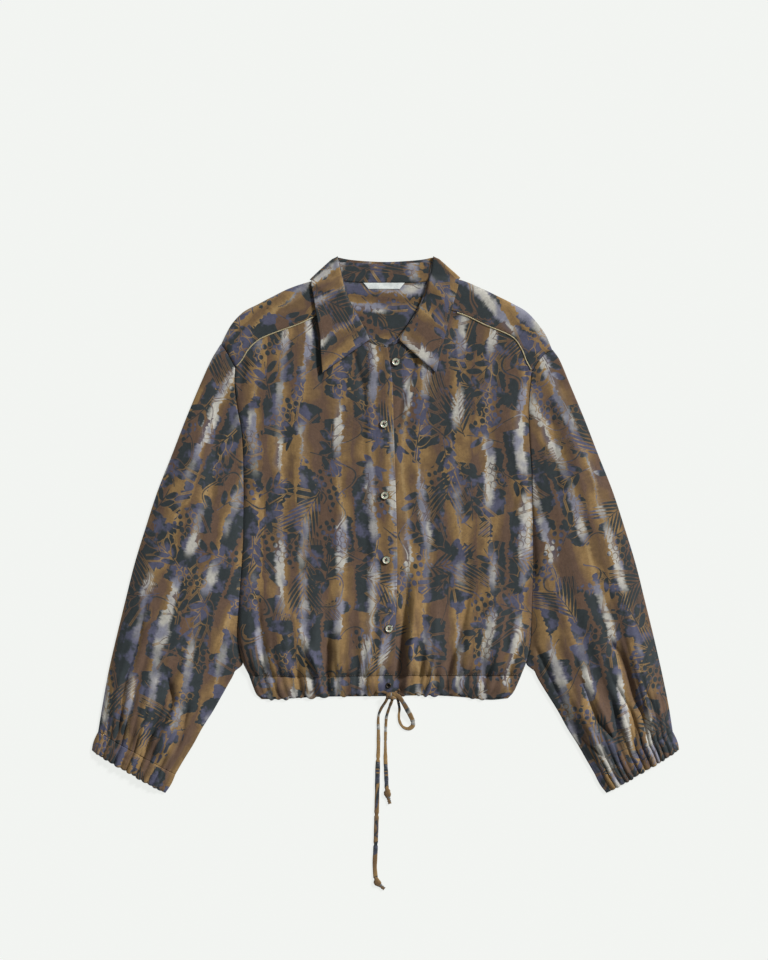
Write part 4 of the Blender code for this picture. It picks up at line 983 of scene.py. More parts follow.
def addYoke():
    o = outline
    side, neck = yoke["sideColumns"], yoke["neckColumns"]
    columns = 2 * side + neck
    back, fold, front = yoke["backRows"], yoke["foldRows"], yoke["frontRows"]
    neckX, neckY = yoke["neckPoint"]
    radius = layered / 2

    def threeParts(column, line, middle):  # the left side, the neck and the right side
        left = curveAt(o[line + "Left"], column / side)
        right = curveAt(o[line + "Right"], (columns - column) / side)
        inLeft, inRight = (column <= side)[..., None], (column >= columns - side)[..., None]
        return np.where(inLeft, left, np.where(inRight, right, middle))

    def topAt(column):
        return threeParts(column, "shoulder", curveAt(o["neckBack"], (column - side) / neck))

    def at(column, row):
        top, low = topAt(column), curveAt(o["backSeam"], column / columns)
        seam = threeParts(column, "yokeSeam", top)
        run = topAt(np.maximum(column - 0.5, 0)) - topAt(np.minimum(column + 0.5, columns))
        out = np.stack([run[..., 1], -run[..., 0]], -1)
        out = out / np.linalg.norm(out, axis=-1)[..., None]
        nearest = np.minimum(column, columns - column)
        end = ease(nearest / 2)
        atNeck = ease(column - side) * ease(columns - side - column)
        inset = top - out * (radius * end * (1 - atNeck))[..., None]
        nearArmhole = (1 - ease(nearest / 5))[..., None]
        onLeft = column < columns / 2

        def bowed(share):
            ends = [bow(o["yokeEnd" + word], share) for word in ("Left", "Right")]
            return np.where(onLeft[..., None], *ends) * nearArmhole

        behind = np.clip(row / back, 0, 1)
        ahead = np.clip((row - back - fold) / front, 0, 1)
        turn = math.pi * np.clip((row - back) / fold, 0, 1)
        backSpot = mix(low, inset, behind) + bowed(behind)
        frontSpot = mix(inset, seam, ahead) + bowed(1 - ahead)
        foldSpot = inset + out * (radius * np.sin(turn) * end)[..., None]
        isBack, isFront = (row <= back)[..., None], (row >= back + fold)[..., None]
        x, y = np.moveaxis(np.where(isBack, backSpot, np.where(isFront, frontSpot, foldSpot)), -1, 0)
        lift = collarLift(x, y)
        wave = 0.12 * (1 + unevenness(x, y, 17, 5)) * behind
        z = np.where(isBack[..., 0], lift + wave * (row > 0), lift + radius * (1 - np.cos(turn)))
        z = np.where(isFront[..., 0], bodyTop(x, y) - 0.5 * turnedDown((1 - ahead) * 45, 1.0), z)
        # the print runs on from the back over the shoulder, mirrored in the shoulder line
        slope = 2 * math.radians(yoke["shoulderSlope"]) * np.where(onLeft, 1, -1)
        pivot = np.where(onLeft, -neckX, neckX)
        overX, overY = x - pivot, y - neckY
        flipX = overX * np.cos(slope) + overY * np.sin(slope) + pivot
        flipY = overX * np.sin(slope) - overY * np.cos(slope) + neckY
        turned = row > back + fold / 2
        return x, y, z, np.where(turned, flipY, y) + 150, np.where(turned, flipX, x) + 1300

    def kept(column, row):
        inNeck = (column > side) & (column < columns - side)
        return ~(inNeck & (row > back))

    across = np.linspace(0, columns, columns * yoke["refine"] + 1)
    rows = np.arange(back + fold + front + 1, dtype=float)
    return addCloth("yokePanel", across, rows, at, "yoke", offset=1.0, keep=kept, wall=yoke["wall"])


# Collar and stand: rows are (roll x, roll y, edge x, edge y)

collar = {
    "leafLeft": [
        (-21, 248, -85, 203), (-30, 266, -87, 228), (-40, 283, -88, 252), (-52, 306, -93, 282),
        (-58, 330, -97, 306),
        (-62, 348, -99.5, 320),
    ],
    "foldLeft": (-64, 359, -99, 327),
    "back": [
        (-48, 356, -76, 316), (-25, 354, -40, 309), (0, 353, 0, 307), (25, 354, 40, 309), (48, 356, 76, 317),
    ],
    "foldRight": (64, 359, 98, 329),
    "leafRight": [
        (62.5, 348, 98, 320), (59, 330, 93.5, 304), (53, 307, 87, 280), (40, 281, 80, 252),
        (28, 265, 74, 228),
        (17, 248, 68, 203),
    ],
    "clear": 1.2,  # the leaves stand clear of the fronts
    "lift": 1.7,  # the edge of the left leaf stands up a little more
    "low": 0.0,
    "round": (2.6, 1.0),  # of the roll and of the edge
    "cloth": (640, 500),  # where on the cloth it is cut
}
stand = {
    "leafLeft": [
        (-4, 243, 2, 237.6), (-20, 250, -15, 241.6), (-38, 282, -54.5, 266.6), (-50.5, 306, -67.5, 279.6),
        (-57, 330, -75.5, 300),
    ],
    "foldLeft": (-61.5, 352, -72.5, 333),
    "back": [
        (-46, 352, -57, 327), (-24, 350.5, -30, 324.4), (0, 350, 0, 324.4), (24, 350.5, 30, 324.4),
        (46, 352, 57, 327),
    ],
    "foldRight": (61.5, 352, 72.5, 334),
    "leafRight": [
        (57.5, 330, 74, 301), (51, 307, 66, 281), (38, 280, 52, 267.6), (16, 250, 16.5, 243.8),
        (9, 246, 9.5, 240.6),
    ],
    "low": 2.3,  # it laps over the edge of the yoke
    "round": (2.0, 0.3),
    "cloth": (700, 330),
}
foldTurns = (65, 0, -78)  # degrees from flat in front, over the fold, to flat behind


def throughRows(rows, where):  # smooth between the rows of a table, where counting in rows
    rows = np.array(rows, float)
    i = np.clip(np.floor(where).astype(int), 0, len(rows) - 2)
    k = np.arange(len(rows))
    slope = (rows[np.minimum(k + 1, len(rows) - 1)] - rows[np.maximum(k - 1, 0)]) / 2
    return between(rows, slope, i, (where - i)[..., None])


def addStrip(name, node, shape, frontTop, rows):
    low, cloth = shape["low"], shape["cloth"]
    roundRoll, roundEdge = shape["round"]
    table = shape["leafLeft"] + [shape["foldLeft"]] * 3 + shape["back"]
    table += [shape["foldRight"]] * 3 + shape["leafRight"]
    turns = [90] * len(shape["leafLeft"]) + list(foldTurns) + [-90] * len(shape["back"])
    turns += list(foldTurns[::-1]) + [90] * len(shape["leafRight"])
    count = len(table) - 1
    where = np.linspace(0, 1, count * 7 + 1)
    rolls = throughRows(table, where * count)[:, :2]
    runAt = np.concatenate([[0], np.cumsum(np.linalg.norm(np.diff(rolls, axis=0), axis=1))])

    def at(along, across):
        row = throughRows(table, along * count)
        roll, edge = row[..., :2], row[..., 2:]
        turn = np.radians(np.interp(along * count, np.arange(count + 1), turns))
        flat = mix(roll, edge, across)
        radius = (frontTop(flat[..., 0], flat[..., 1], across, along) - low) / 2
        out = np.stack([edge[..., 1] - roll[..., 1], roll[..., 0] - edge[..., 0]], -1)
        length = np.linalg.norm(out, axis=-1)
        out = out * (np.where(edge[..., 0] < 0, 1, -1) / length)[..., None]
        rounded = 0.3 + 0.7 * ease(across * 5)
        spot = flat + out * (radius * rounded * np.cos(turn))[..., None]
        x, y = spot[..., 0], spot[..., 1]
        inFront = ease(np.degrees(turn) / 90 + 0.2)
        z = low + radius * (1 + np.sin(turn))
        z = z - turnedDown(across * length, roundRoll) * 0.9 * inFront
        z = z - turnedDown((1 - across) * length, roundEdge) * 0.7 * inFront
        run = np.interp(along, where, runAt)
        return x, y, z, run + cloth[0], across * length + cloth[1]

    return addCloth(name, where, rows, at, node)


def addCollar():
    def standTop(x, y, across, along):
        return bodyTop(x, y, False) + 0.2 * unevenness(x, y, 20, 4)

    def leafTop(x, y, across, along):
        left = ease((0.30 - along) / 0.12) * ease((across - 0.5) / 0.5)
        crown = 0.7 * np.sin(math.pi * np.clip(across, 0, 1)) + 0.35 * unevenness(x, y, 34, 3)
        return bodyTop(x, y, False) + collar["clear"] + sheetOfCloth["layer"] + collar["lift"] * left + crown

    standRows = np.concatenate([[0, 0.03, 0.07, 0.14], np.linspace(0.24, 1, 9)])
    addStrip("collarStand", "collar_stand", stand, standTop, standRows)
    leafRows = np.concatenate([[0, 0.006, 0.015, 0.03], np.linspace(0.05, 0.95, 24), [0.97, 0.985, 0.994, 1]])
    return addStrip("collarFall", "collar", collar, leafTop, leafRows)


# Sleeves and cuffs

sleeve = {
    "outerLeft": [
        (-222, 241), (-234, 221), (-249, 188), (-269, 140), (-288, 91), (-307, 43), (-323, -6), (-338, -55),
        (-350, -103), (-362, -152), (-373, -200), (-381, -244), (-387, -281),
    ],
    "outerRight": [
        (225, 234), (234, 221), (248, 188), (268, 140), (287, 91), (306, 43), (322, -6), (337, -55),
        (349, -103),
        (361, -152), (372, -200), (381, -244), (387, -281),
    ],
    "innerLeft": [
        (-200, -182), (-205, -202), (-213, -217), (-222, -233), (-234, -254), (-248, -276), (-260, -298),
        (-273, -319),
        (-284, -338),
    ],
    "innerRight": [
        (198, -182), (203, -202), (211, -217), (221, -233), (234, -254), (246, -276), (260, -298),
        (272, -319),
        (283, -338),
    ],
    "underarm": 20.0,
    "crotch": -170.0,
    "gap": 0.08,
    "length": 610.0,
    "edge": layered / 2 + 0.2,  # radius of the rounded edges
    "topColumns": 84,
    "lowest": 2.2,  # of the top layer
    "cloth": (700, 90),  # where on the cloth it is cut
    "crown": 6.0,
    "fullness": 4.0,
    "gatherRise": 3.3,
    "gatherRun": 0.15,
    "cuffCrown": 3.2,
    "cuffFullness": 1.4,  # how much cloth the cuff takes up
    "cuffEndLeft": [(-396, -307), (-298, -364)],
    "cuffEndRight": [(396, -306), (299, -364)],
    "marksLeft": (0, 0.045, 0.09, 0.15, 0.22, 0.30, 0.39, 0.47, 0.54, 0.60, 0.68, 0.76, 0.83, 0.89, 0.95, 1),
    "marksRight": (
        0, 0.06, 0.125, 0.195, 0.25, 0.30, 0.386, 0.47, 0.55, 0.635, 0.69, 0.75, 0.82, 0.88, 0.94, 1,
    ),
    "sizes": (0.5, 1.0, 0.8, 1.3, 1.1, 1.4, 0.9, 1.2, 0.7, 1.3, 1.2, 0.8, 1.0, 0.7, 0.4),
    "folds": [  # start and end along, across, drift, height, width, in shares
        (0.30, 1.0, 0.16, 0.02, 3.2, 0.07), (0.55, 1.0, 0.30, 0.03, -2.6, 0.05),
        (0.10, 1.0, 0.44, 0.06, 3.6, 0.09),
        (0.60, 1.0, 0.58, 0.02, -2.8, 0.05), (0.35, 1.0, 0.70, -0.04, 3.8, 0.08),
        (0.62, 1.0, 0.86, -0.05, 2.6, 0.06),
    ],
    "creasesLeft": [
        (
            [(-318, -85), (-325, -121), (-336, -168), (-348, -206), (-355, -240), (-361, -290), (-369, -322)],
            -4.6, 4.4, 0.3, 0,
        ),
        (
            [
                (-300, -180), (-292, -215), (-287, -238), (-298, -264), (-316, -288), (-323, -300),
                (-330, -330),
            ],
            -3.6, 4.2, 0.35, 0,
        ),
        (
            [(-262, -225), (-268, -255), (-274, -285), (-282, -308), (-290, -330), (-300, -352)],
            -3.2, 3.8, 0.3, 0,
        ),
        ([(-372, -235), (-378, -275), (-385, -300)], -2.0, 3.0, 0.5, 0),
        ([(-330, -262), (-340, -290), (-350, -318)], -2.4, 3.0, 0.5, 0),
        ([(-304, -300), (-312, -320), (-318, -345)], -2.2, 2.8, 0.5, 0),
        ([(-262, -120), (-258, -170), (-262, -215)], -1.2, 7.0, 0.4, 0.4),
        ([(-244, 150), (-252, 90), (-270, 20), (-284, -50)], 1.4, 12.0, 0.3, 0.4),
        ([(-215, 195), (-226, 130), (-232, 60), (-240, -20)], -1.8, 10.0, 0.2, 0.5),
        ([(-236, 214), (-228, 190), (-214, 168)], -1.0, 7.0, 0.3, 0.3),
    ],
    "creasesRight": [
        (
            [(197, -157), (215, -193), (236, -238), (257, -282), (289, -310), (307, -333), (317, -354)],
            -3.0, 3.0, 0.1, 0,
        ),
        (
            [
                (296, -140), (303, -157), (318, -184), (326, -206), (335, -238), (348, -259), (352, -284),
                (356, -304),
            ],
            -4.8, 4.6, 0.25, 0,
        ),
        (
            [(302, -206), (312, -221), (325, -244), (333, -262), (336, -284), (338, -304), (345, -322)],
            -4.0, 4.0, 0.3, 0,
        ),
        (
            [(252, -190), (265, -214), (281, -254), (289, -270), (311, -296), (316, -324), (328, -345)],
            -3.4, 4.0, 0.3, 0,
        ),
        ([(346, -215), (350, -225), (360, -246), (366, -270), (368, -290), (376, -312)], -3.0, 3.6, 0.3, 0),
        ([(300, -221), (307, -244), (311, -276), (312, -296)], -1.8, 4.0, 0.4, 0.2),
        ([(262, -150), (256, -190), (250, -215)], -1.0, 7.0, 0.4, 0.4),
        ([(246, 150), (256, 90), (272, 20), (286, -50)], 1.4, 12.0, 0.3, 0.4),
        ([(214, 190), (226, 130), (232, 60), (240, -20)], -1.2, 10.0, 0.2, 0.5),
        ([(238, 206), (230, 186), (214, 166)], -1.0, 7.0, 0.3, 0.3),
    ],
    "outerRun": 14.0,  # how wide the sleeve slopes down to its outer edge, and to the body
    "innerRunLeft": 22.0,
    "innerRunRight": 16.0,
}


def tubeRise(across, width, outerRun, innerRun):
    outer, inner = across * width / outerRun, (1 - across) * width / innerRun
    return (1 - np.exp(-outer)) * (1 - np.exp(-(inner ** 1.6)))


def ringPlan(under=14, arc=6):
    # round a flattened tube from the middle of its underside: share across, way out from the edge, and face
    half = [(0.5 - 0.5 * k / under, 0.0, "under") for k in range(under)]
    bend = [(0.0, math.radians(-90 - 180 * k / arc), "edge") for k in range(1, arc)]
    top = [(s, 0.0, "top") for s in np.linspace(0, 1, sleeve["topColumns"])]
    fall = [(1.0, math.radians(90 - 180 * k / arc), "edge") for k in range(1, arc)]
    rest = [(1.0 - 0.5 * k / under, 0.0, "under") for k in range(under + 1)]
    return half + [(0.0, 0.0, "under")] + bend + top + fall + rest


def asIs(x, y, along, reach):
    return x, y


def addFlatTube(name, node, rows, edgesAt, topAt, mirror, clothLine, fullAt, closeTo=asIs):
    # the cloth is measured off clothLine, which is the outer edge and its continuation
    plan = ringPlan()
    across, angle, face = [np.array(column) for column in zip(*plan)]
    firstTop, lastTop = np.flatnonzero(face == "top")[[0, -1]]
    length = np.linalg.norm(np.diff(curveAt(clothLine, np.linspace(0, 1, 71)), axis=0), axis=1).sum()
    radius, wall, (clothX, clothY) = sleeve["edge"], sheetOfCloth["wall"], sleeve["cloth"]

    def at(ring, along):
        k = np.round(ring * (len(plan) - 1)).astype(int)
        share, turn, top, arc = across[k], angle[k], face[k] == "top", face[k] == "edge"
        outer, inner, bend = edgesAt(along)
        width = np.linalg.norm(inner - outer, axis=-1)
        inset = radius / width
        reach = inset + share * (1 - 2 * inset) + np.where(arc, inset * np.cos(turn), 0)
        spot = mix(outer, inner, reach) + bend(reach)
        x, y = closeTo(spot[..., 0], spot[..., 1], along, reach)
        z = wall + np.where(arc, (radius - wall / 2) * (1 + np.sin(turn)), 0.0)
        z = np.where(top, topAt(along, share, width, x, y), z)
        far, run = nearLine(x, y, clothLine, 70)
        widest = far[:, lastTop][:, None]
        far = np.where(k < firstTop, -far, np.where(k > lastTop, 2 * widest - far, far))
        middle = widest / 2
        return x, y, z, middle + (far - middle) * fullAt(along) + mirror * clothX, clothY - run * length

    addCloth(name, np.linspace(0, 1, len(plan)), rows, at, node, closed=True, flip=mirror > 0)


def addSleeve(side, word, mirror):  # side is as seen in the picture, and word is the wearer's
    s = sleeve
    sideLine = outline["side" + side]
    yokeEnd = outline["yokeEnd" + side]
    underarm = (float(tableAt(sideLine, s["underarm"], 1)), s["underarm"])
    above = [p for p in sideLine[::-1] if p[1] > s["underarm"]]
    beside = [p for p in sideLine[::-1] if s["crotch"] < p[1] < s["underarm"]]
    armhole = moved(yokeEnd[::-1] + above[1:] + [underarm], mirror * s["gap"], 0)
    inner = moved([underarm] + beside, mirror * s["gap"], 0) + s["inner" + side]
    outer = [(s["outer" + side][0][0] + mirror * s["gap"], s["outer" + side][0][1])] + s["outer" + side][1:]
    marks, creases, innerRun = s["marks" + side], s["creases" + side], s["innerRun" + side]

    def edgesAt(along):
        fade = ((1 - np.clip(along, 0, 1)) ** 3)[..., None]
        return curveAt(outer, along), curveAt(inner, along), lambda share: fade * bow(armhole, share)

    def topAt(along, across, width, x, y):
        folds = 0
        for start, end, middle, drift, height, wide in s["folds"]:
            share = np.clip((along - start) / (end - start), 0, 1)
            off = (across - middle - drift * (1 - share)) / wide
            folds = folds + 0.8 * height * ease(share * 1.6) * np.exp(-(off ** 2))
        full = s["fullness"] * np.exp(-(((along - 0.86) / 0.14) ** 2))
        soft = s["crown"] * (0.25 + 0.75 * ease(along / 0.3)) + full + folds + 2.0 * creased(x, y, creases)
        soft = soft + 0.5 * unevenness(x, y * 0.5, 48, 6) + 0.18 * unevenness(x, y * 0.7, 15, 7)
        soft = soft + (s["cuffCrown"] - soft) * ease((along - 0.93) / 0.07)
        hump = gathered(across, marks, s["sizes"])
        gathers = s["gatherRise"] * hump * np.exp(-(1 - along) / (s["gatherRun"] * (0.55 + 0.45 * hump)))
        inward = innerRun + (s["outerRun"] - innerRun) * ease((along - 0.55) / 0.25)
        rise = tubeRise(across, width, s["outerRun"], inward)
        pinch = 0.35 * np.exp(-(1 - along) * s["length"] / 3.0) + np.exp(-along * s["length"] / 4.0)
        z = 2 * s["edge"] + rise * np.maximum(soft, 0.5) + (gathers - pinch) * rise ** 0.3
        return np.maximum(z, s["lowest"])

    firstRows, lastRows = [0, 0.0008, 0.002, 0.0045], [0.992, 0.995, 0.9975, 1]
    rows = np.concatenate([firstRows, np.linspace(0.008, 0.988, 190), lastRows])
    first, second, last = [np.array(p, float) for p in (outer[0], outer[1], outer[-1])]
    past = np.array(s["cuffEnd" + side][0], float)
    before, beyond = first - (second - first) * 2.5, past + (past - last) * 4
    clothLine = [tuple(before)] + outer + [tuple(past), tuple(beyond)]
    edges = curveAt(sideLine, np.linspace(0, 1, 300)), curveAt(yokeEnd, np.linspace(0, 1, 60))
    bodyEdge = np.concatenate(edges)
    bodyEdge = bodyEdge[np.argsort(bodyEdge[:, 1])]

    def beyondBody(x, y):  # how far a point stands clear of the body's side
        return mirror * (x - np.interp(y, bodyEdge[:, 1], bodyEdge[:, 0])) - s["gap"]

    def closeTo(x, y, along, reach):  # brings the inner edge and the armhole up to the body
        edgeX, edgeY = np.moveaxis(curveAt(inner, along), -1, 0)
        near = np.clip(reach, 0, 1) ** 5
        besideBody = beyondBody(edgeX, edgeY) * ease((edgeY + 200) / 14)
        atArmhole = beyondBody(x, y)[:1] * (1 - ease(along / 0.05))
        return x - mirror * (besideBody * near + atArmhole * (1 - near)), y

    addFlatTube(
        "sleeve" + word, "sleeve_" + word.lower(), rows, edgesAt, topAt, mirror, clothLine,
        lambda along: 1 + (s["cuffFullness"] - 1) * np.exp(-(1 - along) / 0.12), closeTo,
    )
    startOuter, startInner = np.array(outer[-1], float), np.array(inner[-1], float)
    endOuter, endInner = [np.array(p, float) for p in s["cuffEnd" + side]]
    aim = (endOuter + endInner - startOuter - startInner) / 2
    length = float(np.linalg.norm(aim))

    def cuffEdgesAt(along):
        swell = (1.5 * np.sin(math.pi * np.clip(along, 0, 1)) * mirror)[..., None] * (1, 0)

        def bend(share):
            scallop = (gathered(share, marks, s["sizes"]) - 0.9) * 1.5 * ease((along - 0.6) / 0.4)
            return scallop[..., None] * (aim / length)

        return mix(startOuter, endOuter, along) + swell, mix(startInner, endInner, along) - swell, bend

    def cuffTopAt(along, across, width, x, y):
        puff = 1 + 0.35 * np.sin(math.pi * np.clip(along, 0, 1)) - 0.25 * along
        rise = tubeRise(across, width, 9.0, 9.0)
        hump = s["gatherRise"] * gathered(across, marks, s["sizes"])
        soft = s["cuffCrown"] * puff + 0.25 * creased(x, y, creases) + 0.25 * unevenness(x, y, 9, 9)
        z = 2 * s["edge"] + rise * soft + hump * rise ** 0.3
        z = z - 0.35 * np.exp(-np.maximum(along, 0) * length / 2.5) * rise ** 0.3
        return np.maximum(z - 1.6 * turnedDown((1 - along) * length, 2.2), s["lowest"])

    cuffRows = np.concatenate([np.linspace(0.004, 0.93, 20), [0.96, 0.98, 0.992, 1]])
    addFlatTube(
        "cuff" + word, "cuff_" + word.lower(), cuffRows, cuffEdgesAt, cuffTopAt, mirror, clothLine,
        lambda along: s["cuffFullness"] + 0 * along,
    )


frontRight, hemRight, frontLeft, hemLeft = addFronts()
addBack()
yokePiece, collarPiece = addYoke(), addCollar()
addSleeve("Left", "Right", -1)
addSleeve("Right", "Left", 1)
print("cloth made")


# Trim: piping, buttons, eyelet, label and stitches

trim = {
    "pipingWidth": 1.7,
    "pipingEnds": (0.02, 0.855),
    "buttons": [(14, 218, 0.3), (-2, 134, 1.1), (-1, 38, 0.7), (1, -49, 2.0), (5, -141, 1.5)],  # with turns
    "buttonProfile": [  # radius and height, from the middle over the rim to the underside
        (0, 1.45), (0.5, 1.45), (1.0, 1.45), (1.3, 1.46), (1.6, 1.47), (1.9, 1.48), (2.2, 1.5), (2.5, 1.52),
        (2.9, 1.56), (3.4, 1.66), (3.9, 1.86), (4.3, 2.1), (4.7, 2.24), (5.1, 2.22), (5.45, 2.0), (5.68, 1.6),
        (5.75, 1.15), (5.6, 0.7), (4.6, 0.15), (3.0, 0.0), (0, 0.0),
    ],
    "holeAt": 1.1,  # from the button's middle, both ways
    "hole": 1.0,
    "holeDepth": 1.1,
    "eyelet": (4, -218),
    "eyeletProfile": [
        (0, 0.15), (1.0, 0.15), (1.6, 0.2), (1.85, 0.45), (2.1, 0.9), (2.5, 1.2), (3.0, 1.25), (3.5, 1.0),
        (3.85, 0.5),
        (3.9, 0.0), (0, 0.0),
    ],
    "labelTop": [(-30, 324.6), (26, 324.6)],
    "labelBottom": [(-23, 316), (19, 316)],
    "knotTails": [
        [(8, -229.5), (2, -228.2), (-4, -226.4), (-9, -226.8), (-12, -225.4)],
        [(10, -229.5), (14, -227.6), (16.5, -225.2), (19.5, -224.4)],
    ],
    "labelWall": 0.45,
    "stitchGap": 3.1,
    "stitchLength": 2.1,
    "stitchWidth": 0.5,
    "stitchesMeet": 0.5362,  # share of the hem seam at which the front on top ends
    "collarStitchesRight": [(-95, 318), (-89, 282), (-83.5, 252), (-82, 228), (-80.6, 211), (-28, 247.5)],
    "collarStitchesLeft": [(93.5, 318), (83, 280), (75.5, 252), (69.5, 228), (63.5, 211.5), (22, 247)],
    "placketStitches": [(-26, 240), (-21, 194), (-18, 134), (-14, 38), (-13, -49), (-15, -141), (-17, -200)],
}


def heightOn(*pieces):  # the height of the cloth in mm under a spot
    trees = []
    for piece in pieces:
        corners = [v.co.copy() for v in piece.data.vertices]
        trees.append(BVHTree.FromPolygons(corners, [tuple(f.vertices) for f in piece.data.polygons]))

    def at(x, y):
        hits = [tree.ray_cast(Vector((x * mm, y * mm, 0.1)), Vector((0, 0, -1)))[0] for tree in trees]
        return max([hit.z / mm for hit in hits if hit is not None], default=0.0)

    return at


def highest(cloth, x, y, *radii):  # the highest cloth under rings round a spot
    turns = np.linspace(0, 6.28, 9)
    return max(cloth(x + r * math.cos(a), y + r * math.sin(a)) for r in radii for a in turns)


def clothPlace(tree):  # the spot on the cloth, in mm
    x, y, z = partsOf(tree, clothSpot(tree))
    return x * (1 / mm), y * (1 / mm)


spun = {  # slant and pitch of the fine lines, and how strongly they colour and stand out
    "pipingSatin": {
        "light": (0.50, 0.42, 0.235, 1), "dark": (0.40, 0.33, 0.18, 1), "line": (0.24, 0.19, 0.10, 1),
        "roughness": 0.42, "sheen": 0.25, "slant": (1.0, 1.0), "pitch": 0.7,
        "patch": 7.0, "edge": (0.35, 0.65), "lined": 0.35, "depth": 0.15, "bump": 0.6,
    },
    "labelRibbon": {
        "light": (0.80, 0.83, 0.81, 1), "dark": (0.68, 0.72, 0.71, 1), "line": (0.45, 0.48, 0.47, 1),
        "roughness": 0.55, "sheen": 0.2, "slant": (1.0, 0.6), "pitch": 0.6,
        "patch": 9.0, "edge": (0.35, 0.65), "lined": 0.12, "depth": 0.1, "bump": 0.5,
    },
    "stitchThread": {
        "light": (0.30, 0.22, 0.12, 1), "dark": (0.13, 0.10, 0.075, 1), "line": (0.06, 0.045, 0.03, 1),
        "roughness": 0.6, "sheen": 0.2, "slant": (2.0, 1.0), "pitch": 0.5,
        "patch": 21.0, "edge": (0.4, 0.6), "lined": 0.4, "depth": 0.05, "bump": 0.6,
    },
}
darkThread = {"light": (0.045, 0.034, 0.024, 1), "dark": (0.03, 0.024, 0.02, 1)}
spun["buttonThread"] = {**spun["stitchThread"], **darkThread}


def makeThread(name):
    p = spun[name]
    made, tree, shader = newMaterial(name, p["light"], p["roughness"], 0.0, p["sheen"])
    slantX, slantY = p["slant"]
    lines = placeGroup(
        tree, spunLines, Spot=clothSpot(tree), SlantX=slantX, SlantY=slantY, Pitch=p["pitch"],
        PatchScale=1 / p["patch"],
    )
    colour = colourMix(tree, lines["Patch"].smooth(*p["edge"]), p["light"], p["dark"])
    colour = colourMix(tree, lines["Line"] * p["lined"], colour, p["line"])
    tree.links.new(colour.socket, shader.inputs["Base Color"])
    bumpInto(tree, shader, lines["Line"], p["depth"] * mm, p["bump"])
    return made


pearl = {
    "ivory": (0.64, 0.60, 0.51, 1),
    "green": (0.36, 0.50, 0.35, 1),
    "pink": (0.64, 0.38, 0.30, 1),
    "ring": (0.30, 0.27, 0.20, 1),
    # painted shade on the button's turned edge
    "rim": (0.050, 0.038, 0.025, 1),
    # painted shadow in the sewing holes
    "hole": (0.018, 0.014, 0.010, 1),
}


def makePearl():
    made, tree, shader = newMaterial("pearlButton", pearl["ivory"], 0.24)
    shader.inputs["Coat Weight"].default_value = 0.6
    shader.inputs["Coat Roughness"].default_value = 0.12
    x, y = clothPlace(tree)
    spot = vectorOf(tree, x, y)
    far = (x * x + y * y).math("SQRT")
    green = noiseOf(tree, spot, 1 / 3.4, 2.0, 0.6).smooth(0.40, 0.62)
    pink = noiseOf(tree, vectorOf(tree, y + 20.0, x), 1 / 3.8, 2.0, 0.6).smooth(0.48, 0.68)
    colour = colourMix(tree, green, pearl["ivory"], pearl["green"])
    colour = colourMix(tree, pink * 0.85, colour, pearl["pink"])
    ring = (far * 2.6 + (noiseOf(tree, spot, 1 / 4.5, 1.0) - 0.5) * 3.0).math("SINE") * 0.5 + 0.5
    colour = colourMix(tree, ring * 0.22, colour, pearl["ring"])
    # painted shade: the edge of the button, where it turns down, is painted dark
    colour = colourMix(tree, far.smooth(4.3, 5.1), colour, pearl["rim"])
    # painted shadow: the sewing holes are shallow dents, and their insides are painted almost black
    holeX, holeY = x.math("ABSOLUTE") - trim["holeAt"], y.math("ABSOLUTE") - trim["holeAt"]
    hole = 1.0 - (holeX * holeX + holeY * holeY).math("SQRT").smooth(0.8, 1.3)
    colour = colourMix(tree, hole, colour, pearl["hole"])
    tree.links.new(colour.socket, shader.inputs["Base Color"])
    bumpInto(tree, shader, ring, 0.1 * mm, 0.3)
    return made


bronze = {
    "dark": (0.050, 0.043, 0.036, 1),
    "rubbed": (0.17, 0.13, 0.085, 1),
    # painted shadow: the eyelet's hole is not cut, so its middle is painted almost black
    "openingShade": (0.006, 0.006, 0.006, 1),
}


def makeBronze():
    made, tree, shader = newMaterial("darkBronze", bronze["dark"], 0.38, 0.9)
    x, y = clothPlace(tree)
    far = (x * x + y * y).math("SQRT")
    rubbed = noiseOf(tree, vectorOf(tree, x, y), 1 / 1.2, 3.0, 0.6).smooth(0.5, 0.7) * far.smooth(2.0, 2.8)
    colour = colourMix(tree, rubbed, bronze["dark"], bronze["rubbed"])
    # painted shadow in the middle of the eyelet, where the hole would be dark
    colour = colourMix(tree, 1.0 - far.smooth(1.5, 2.1), colour, bronze["openingShade"])
    tree.links.new(colour.socket, shader.inputs["Base Color"])
    tree.links.new((0.5 - rubbed * 0.2).socket, shader.inputs["Roughness"])
    bumpInto(tree, shader, rubbed, 0.05 * mm, 0.5)
    return made


pipingSatin, labelRibbon = makeThread("pipingSatin"), makeThread("labelRibbon")
stitchThread, buttonThread = makeThread("stitchThread"), makeThread("buttonThread")
pearlButton, darkBronze = makePearl(), makeBronze()


def smoothed(values, spread=5):
    kernel = np.ones(spread) / spread
    return np.convolve(np.pad(values, spread // 2, mode="edge"), kernel, mode="valid")


def addPiping(name, node, seam, cloth):
    spots = curveAt(seam, np.linspace(*trim["pipingEnds"], 121))
    rises = np.array([max(cloth(x, y - 1.0), cloth(x, y + 1.0)) for x, y in spots])
    path = np.column_stack([spots[:, 0], spots[:, 1] - 0.2, smoothed(rises) + 0.45])
    widths, width = 1 + 0.05 * np.sin(np.arange(len(path)) * 0.9), trim["pipingWidth"]
    dress(addTube(name, path, width, width, pipingSatin, 12, widths), node)


